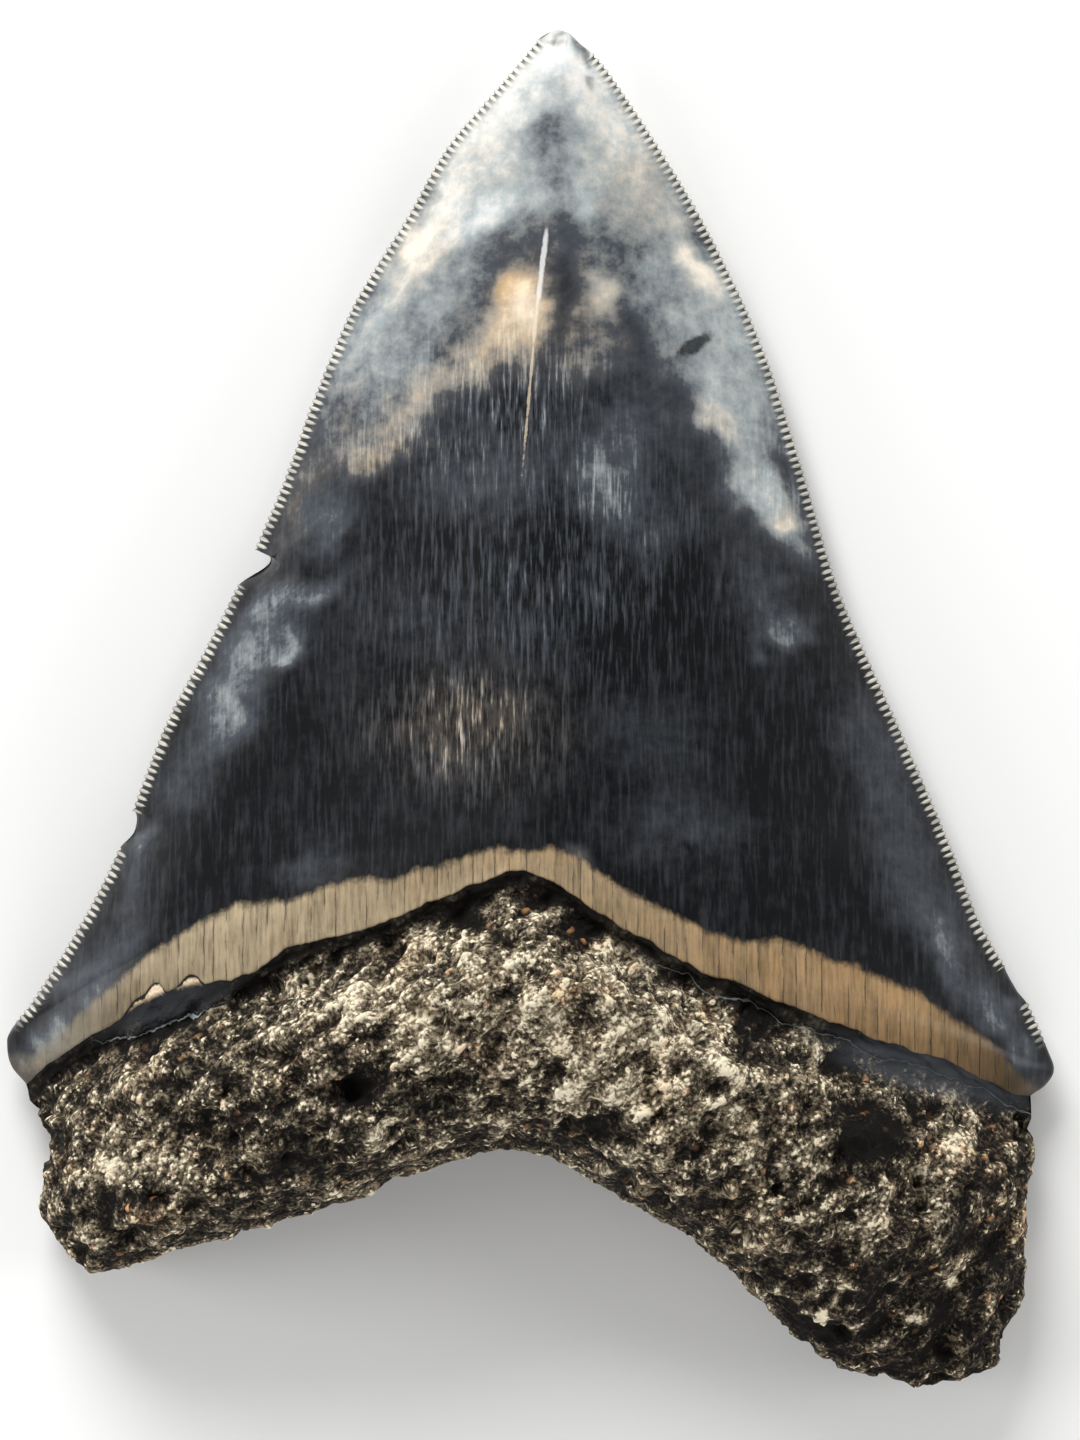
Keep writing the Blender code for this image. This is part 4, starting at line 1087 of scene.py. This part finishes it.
class OBJECT_OT_fossil_tooth(bpy.types.Operator):
    """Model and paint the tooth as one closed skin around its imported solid"""

    bl_idname = "object.fossil_tooth"
    bl_label = "Tooth"

    def execute(self, context):
        form = context.scene.fossil_tooth_form
        skin = lay_out_pattern("megalodon_tooth")
        mesh = skin.data
        places, masks = shaped_tooth(mesh_places(mesh), form)
        mesh.vertices.foreach_set("co", (places * MM).ravel())
        mesh.update()
        paint_masks(places, masks)
        for name, values in masks.items():
            held = mesh.attributes.new(name, "FLOAT", "POINT")
            held.data.foreach_set("value", values.astype(np.float32))
        mesh.attributes.new("seat", "FLOAT_VECTOR", "POINT").data.foreach_set("vector", places.ravel())
        select_only(skin)
        bpy.ops.object.mode_set(mode="EDIT")
        bpy.ops.mesh.select_all(action="SELECT")
        bpy.ops.mesh.remove_doubles(threshold=1e-6)
        bpy.ops.mesh.normals_make_consistent(inside=False)
        bpy.ops.object.mode_set(mode="OBJECT")
        roughen(skin, form)
        moved = mesh_places(mesh)
        moved[:, 2] = np.maximum(moved[:, 2], 0)
        mesh.vertices.foreach_set("co", moved.ravel())
        mesh.update()
        bpy.ops.object.shade_smooth()
        mesh.materials.clear()
        mesh.materials.append(fossil_material(context.scene.fossil_tooth_colours))
        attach(skin, "root")
        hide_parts("tooth")
        return {"FINISHED"}


class OBJECT_OT_fossil_tooth_studio(bpy.types.Operator):
    """Set up a plain pale floor, soft lights and a camera that looks down on the tooth"""

    bl_idname = "object.fossil_tooth_studio"
    bl_label = "Studio"

    def execute(self, context):
        studio = context.scene.fossil_tooth_studio
        context.scene.view_settings.view_transform = "Standard"
        deselect_all()
        bpy.ops.mesh.primitive_plane_add(size=FLOOR_SIZE)
        floor = context.object
        floor.name = "floor"
        floor.data.transform(Matrix.Translation((0, 0, -FLOOR_DROP)))
        paint = bpy.data.materials.new("pale_card")
        paint.use_nodes = True
        card = paint.node_tree.nodes["Principled BSDF"].inputs
        card["Base Color"].default_value = (*studio.floor, 1)
        card["Roughness"].default_value = 0.9
        card["Specular IOR Level"].default_value = 0.0
        floor.data.materials.append(paint)
        for name, turn, lean, size in LIGHTS:
            turn, lean = math.radians(turn), math.radians(lean)
            place = Vector((math.cos(turn) * math.sin(lean), math.sin(turn) * math.sin(lean), math.cos(lean)))
            bpy.ops.object.light_add(type="AREA", location=place)
            light = context.object
            light.name = name
            light.data.shape = "DISK"
            light.data.size = size
            light.data.energy = studio.key_power if name == "key" else studio.fill_power
            light.rotation_euler = place.to_track_quat("Z", "Y").to_euler()
        world = bpy.data.worlds.new("room")
        world.use_nodes = True
        room = world.node_tree.nodes["Background"].inputs
        room["Strength"].default_value = studio.world
        room["Color"].default_value = (1, 1, 1, 1)
        context.scene.world = world
        across = (PHOTO_WIDTH / 2 - PHOTO_MIDDLE[0]) * PIXEL
        up = (PHOTO_MIDDLE[1] - PHOTO_HEIGHT / 2) * PIXEL
        bpy.ops.object.camera_add(
            location=(across * MM, up * MM, CAMERA_HEIGHT + EDGE_HEIGHT * MM), rotation=(0, 0, 0))
        camera = context.object
        camera.name = "camera"
        camera.data.sensor_width = 36
        camera.data.lens = camera.data.sensor_width * CAMERA_HEIGHT / (PHOTO_HEIGHT * PIXEL * MM)
        camera.data.clip_end = 10
        context.scene.camera = camera
        return {"FINISHED"}


class VIEW3D_PT_fossil_tooth(bpy.types.Panel):
    bl_idname = "VIEW3D_PT_fossil_tooth"
    bl_label = "Fossil Megalodon Tooth"
    bl_space_type = "VIEW_3D"
    bl_region_type = "UI"
    bl_category = "Fossil Tooth"

    def draw(self, context):
        for operator, group in STEPS:
            box = self.layout.box()
            box.operator(operator.bl_idname)
            for held in group:
                settings = getattr(context.scene, held)
                for name in settings.__annotations__:
                    box.prop(settings, name)


STEPS = [
    (OBJECT_OT_fossil_tooth, ("fossil_tooth_form", "fossil_tooth_colours")),
    (OBJECT_OT_fossil_tooth_studio, ("fossil_tooth_studio",)),
]
GROUPS = {
    "fossil_tooth_form": FossilToothForm,
    "fossil_tooth_colours": FossilToothColours,
    "fossil_tooth_studio": FossilToothStudio,
}
CLASSES = [*GROUPS.values(), *(operator for operator, group in STEPS), VIEW3D_PT_fossil_tooth]


def register():
    for item in CLASSES:
        bpy.utils.register_class(item)
    for name, group in GROUPS.items():
        setattr(bpy.types.Scene, name, PointerProperty(type=group))


def unregister():
    for name in GROUPS:
        delattr(bpy.types.Scene, name)
    for item in reversed(CLASSES):
        bpy.utils.unregister_class(item)


def main():
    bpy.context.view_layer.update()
    register()
    for operator, _ in STEPS:
        category, name = operator.bl_idname.split(".")
        getattr(getattr(bpy.ops, category), name)()


if __name__ == "__main__":
    main()
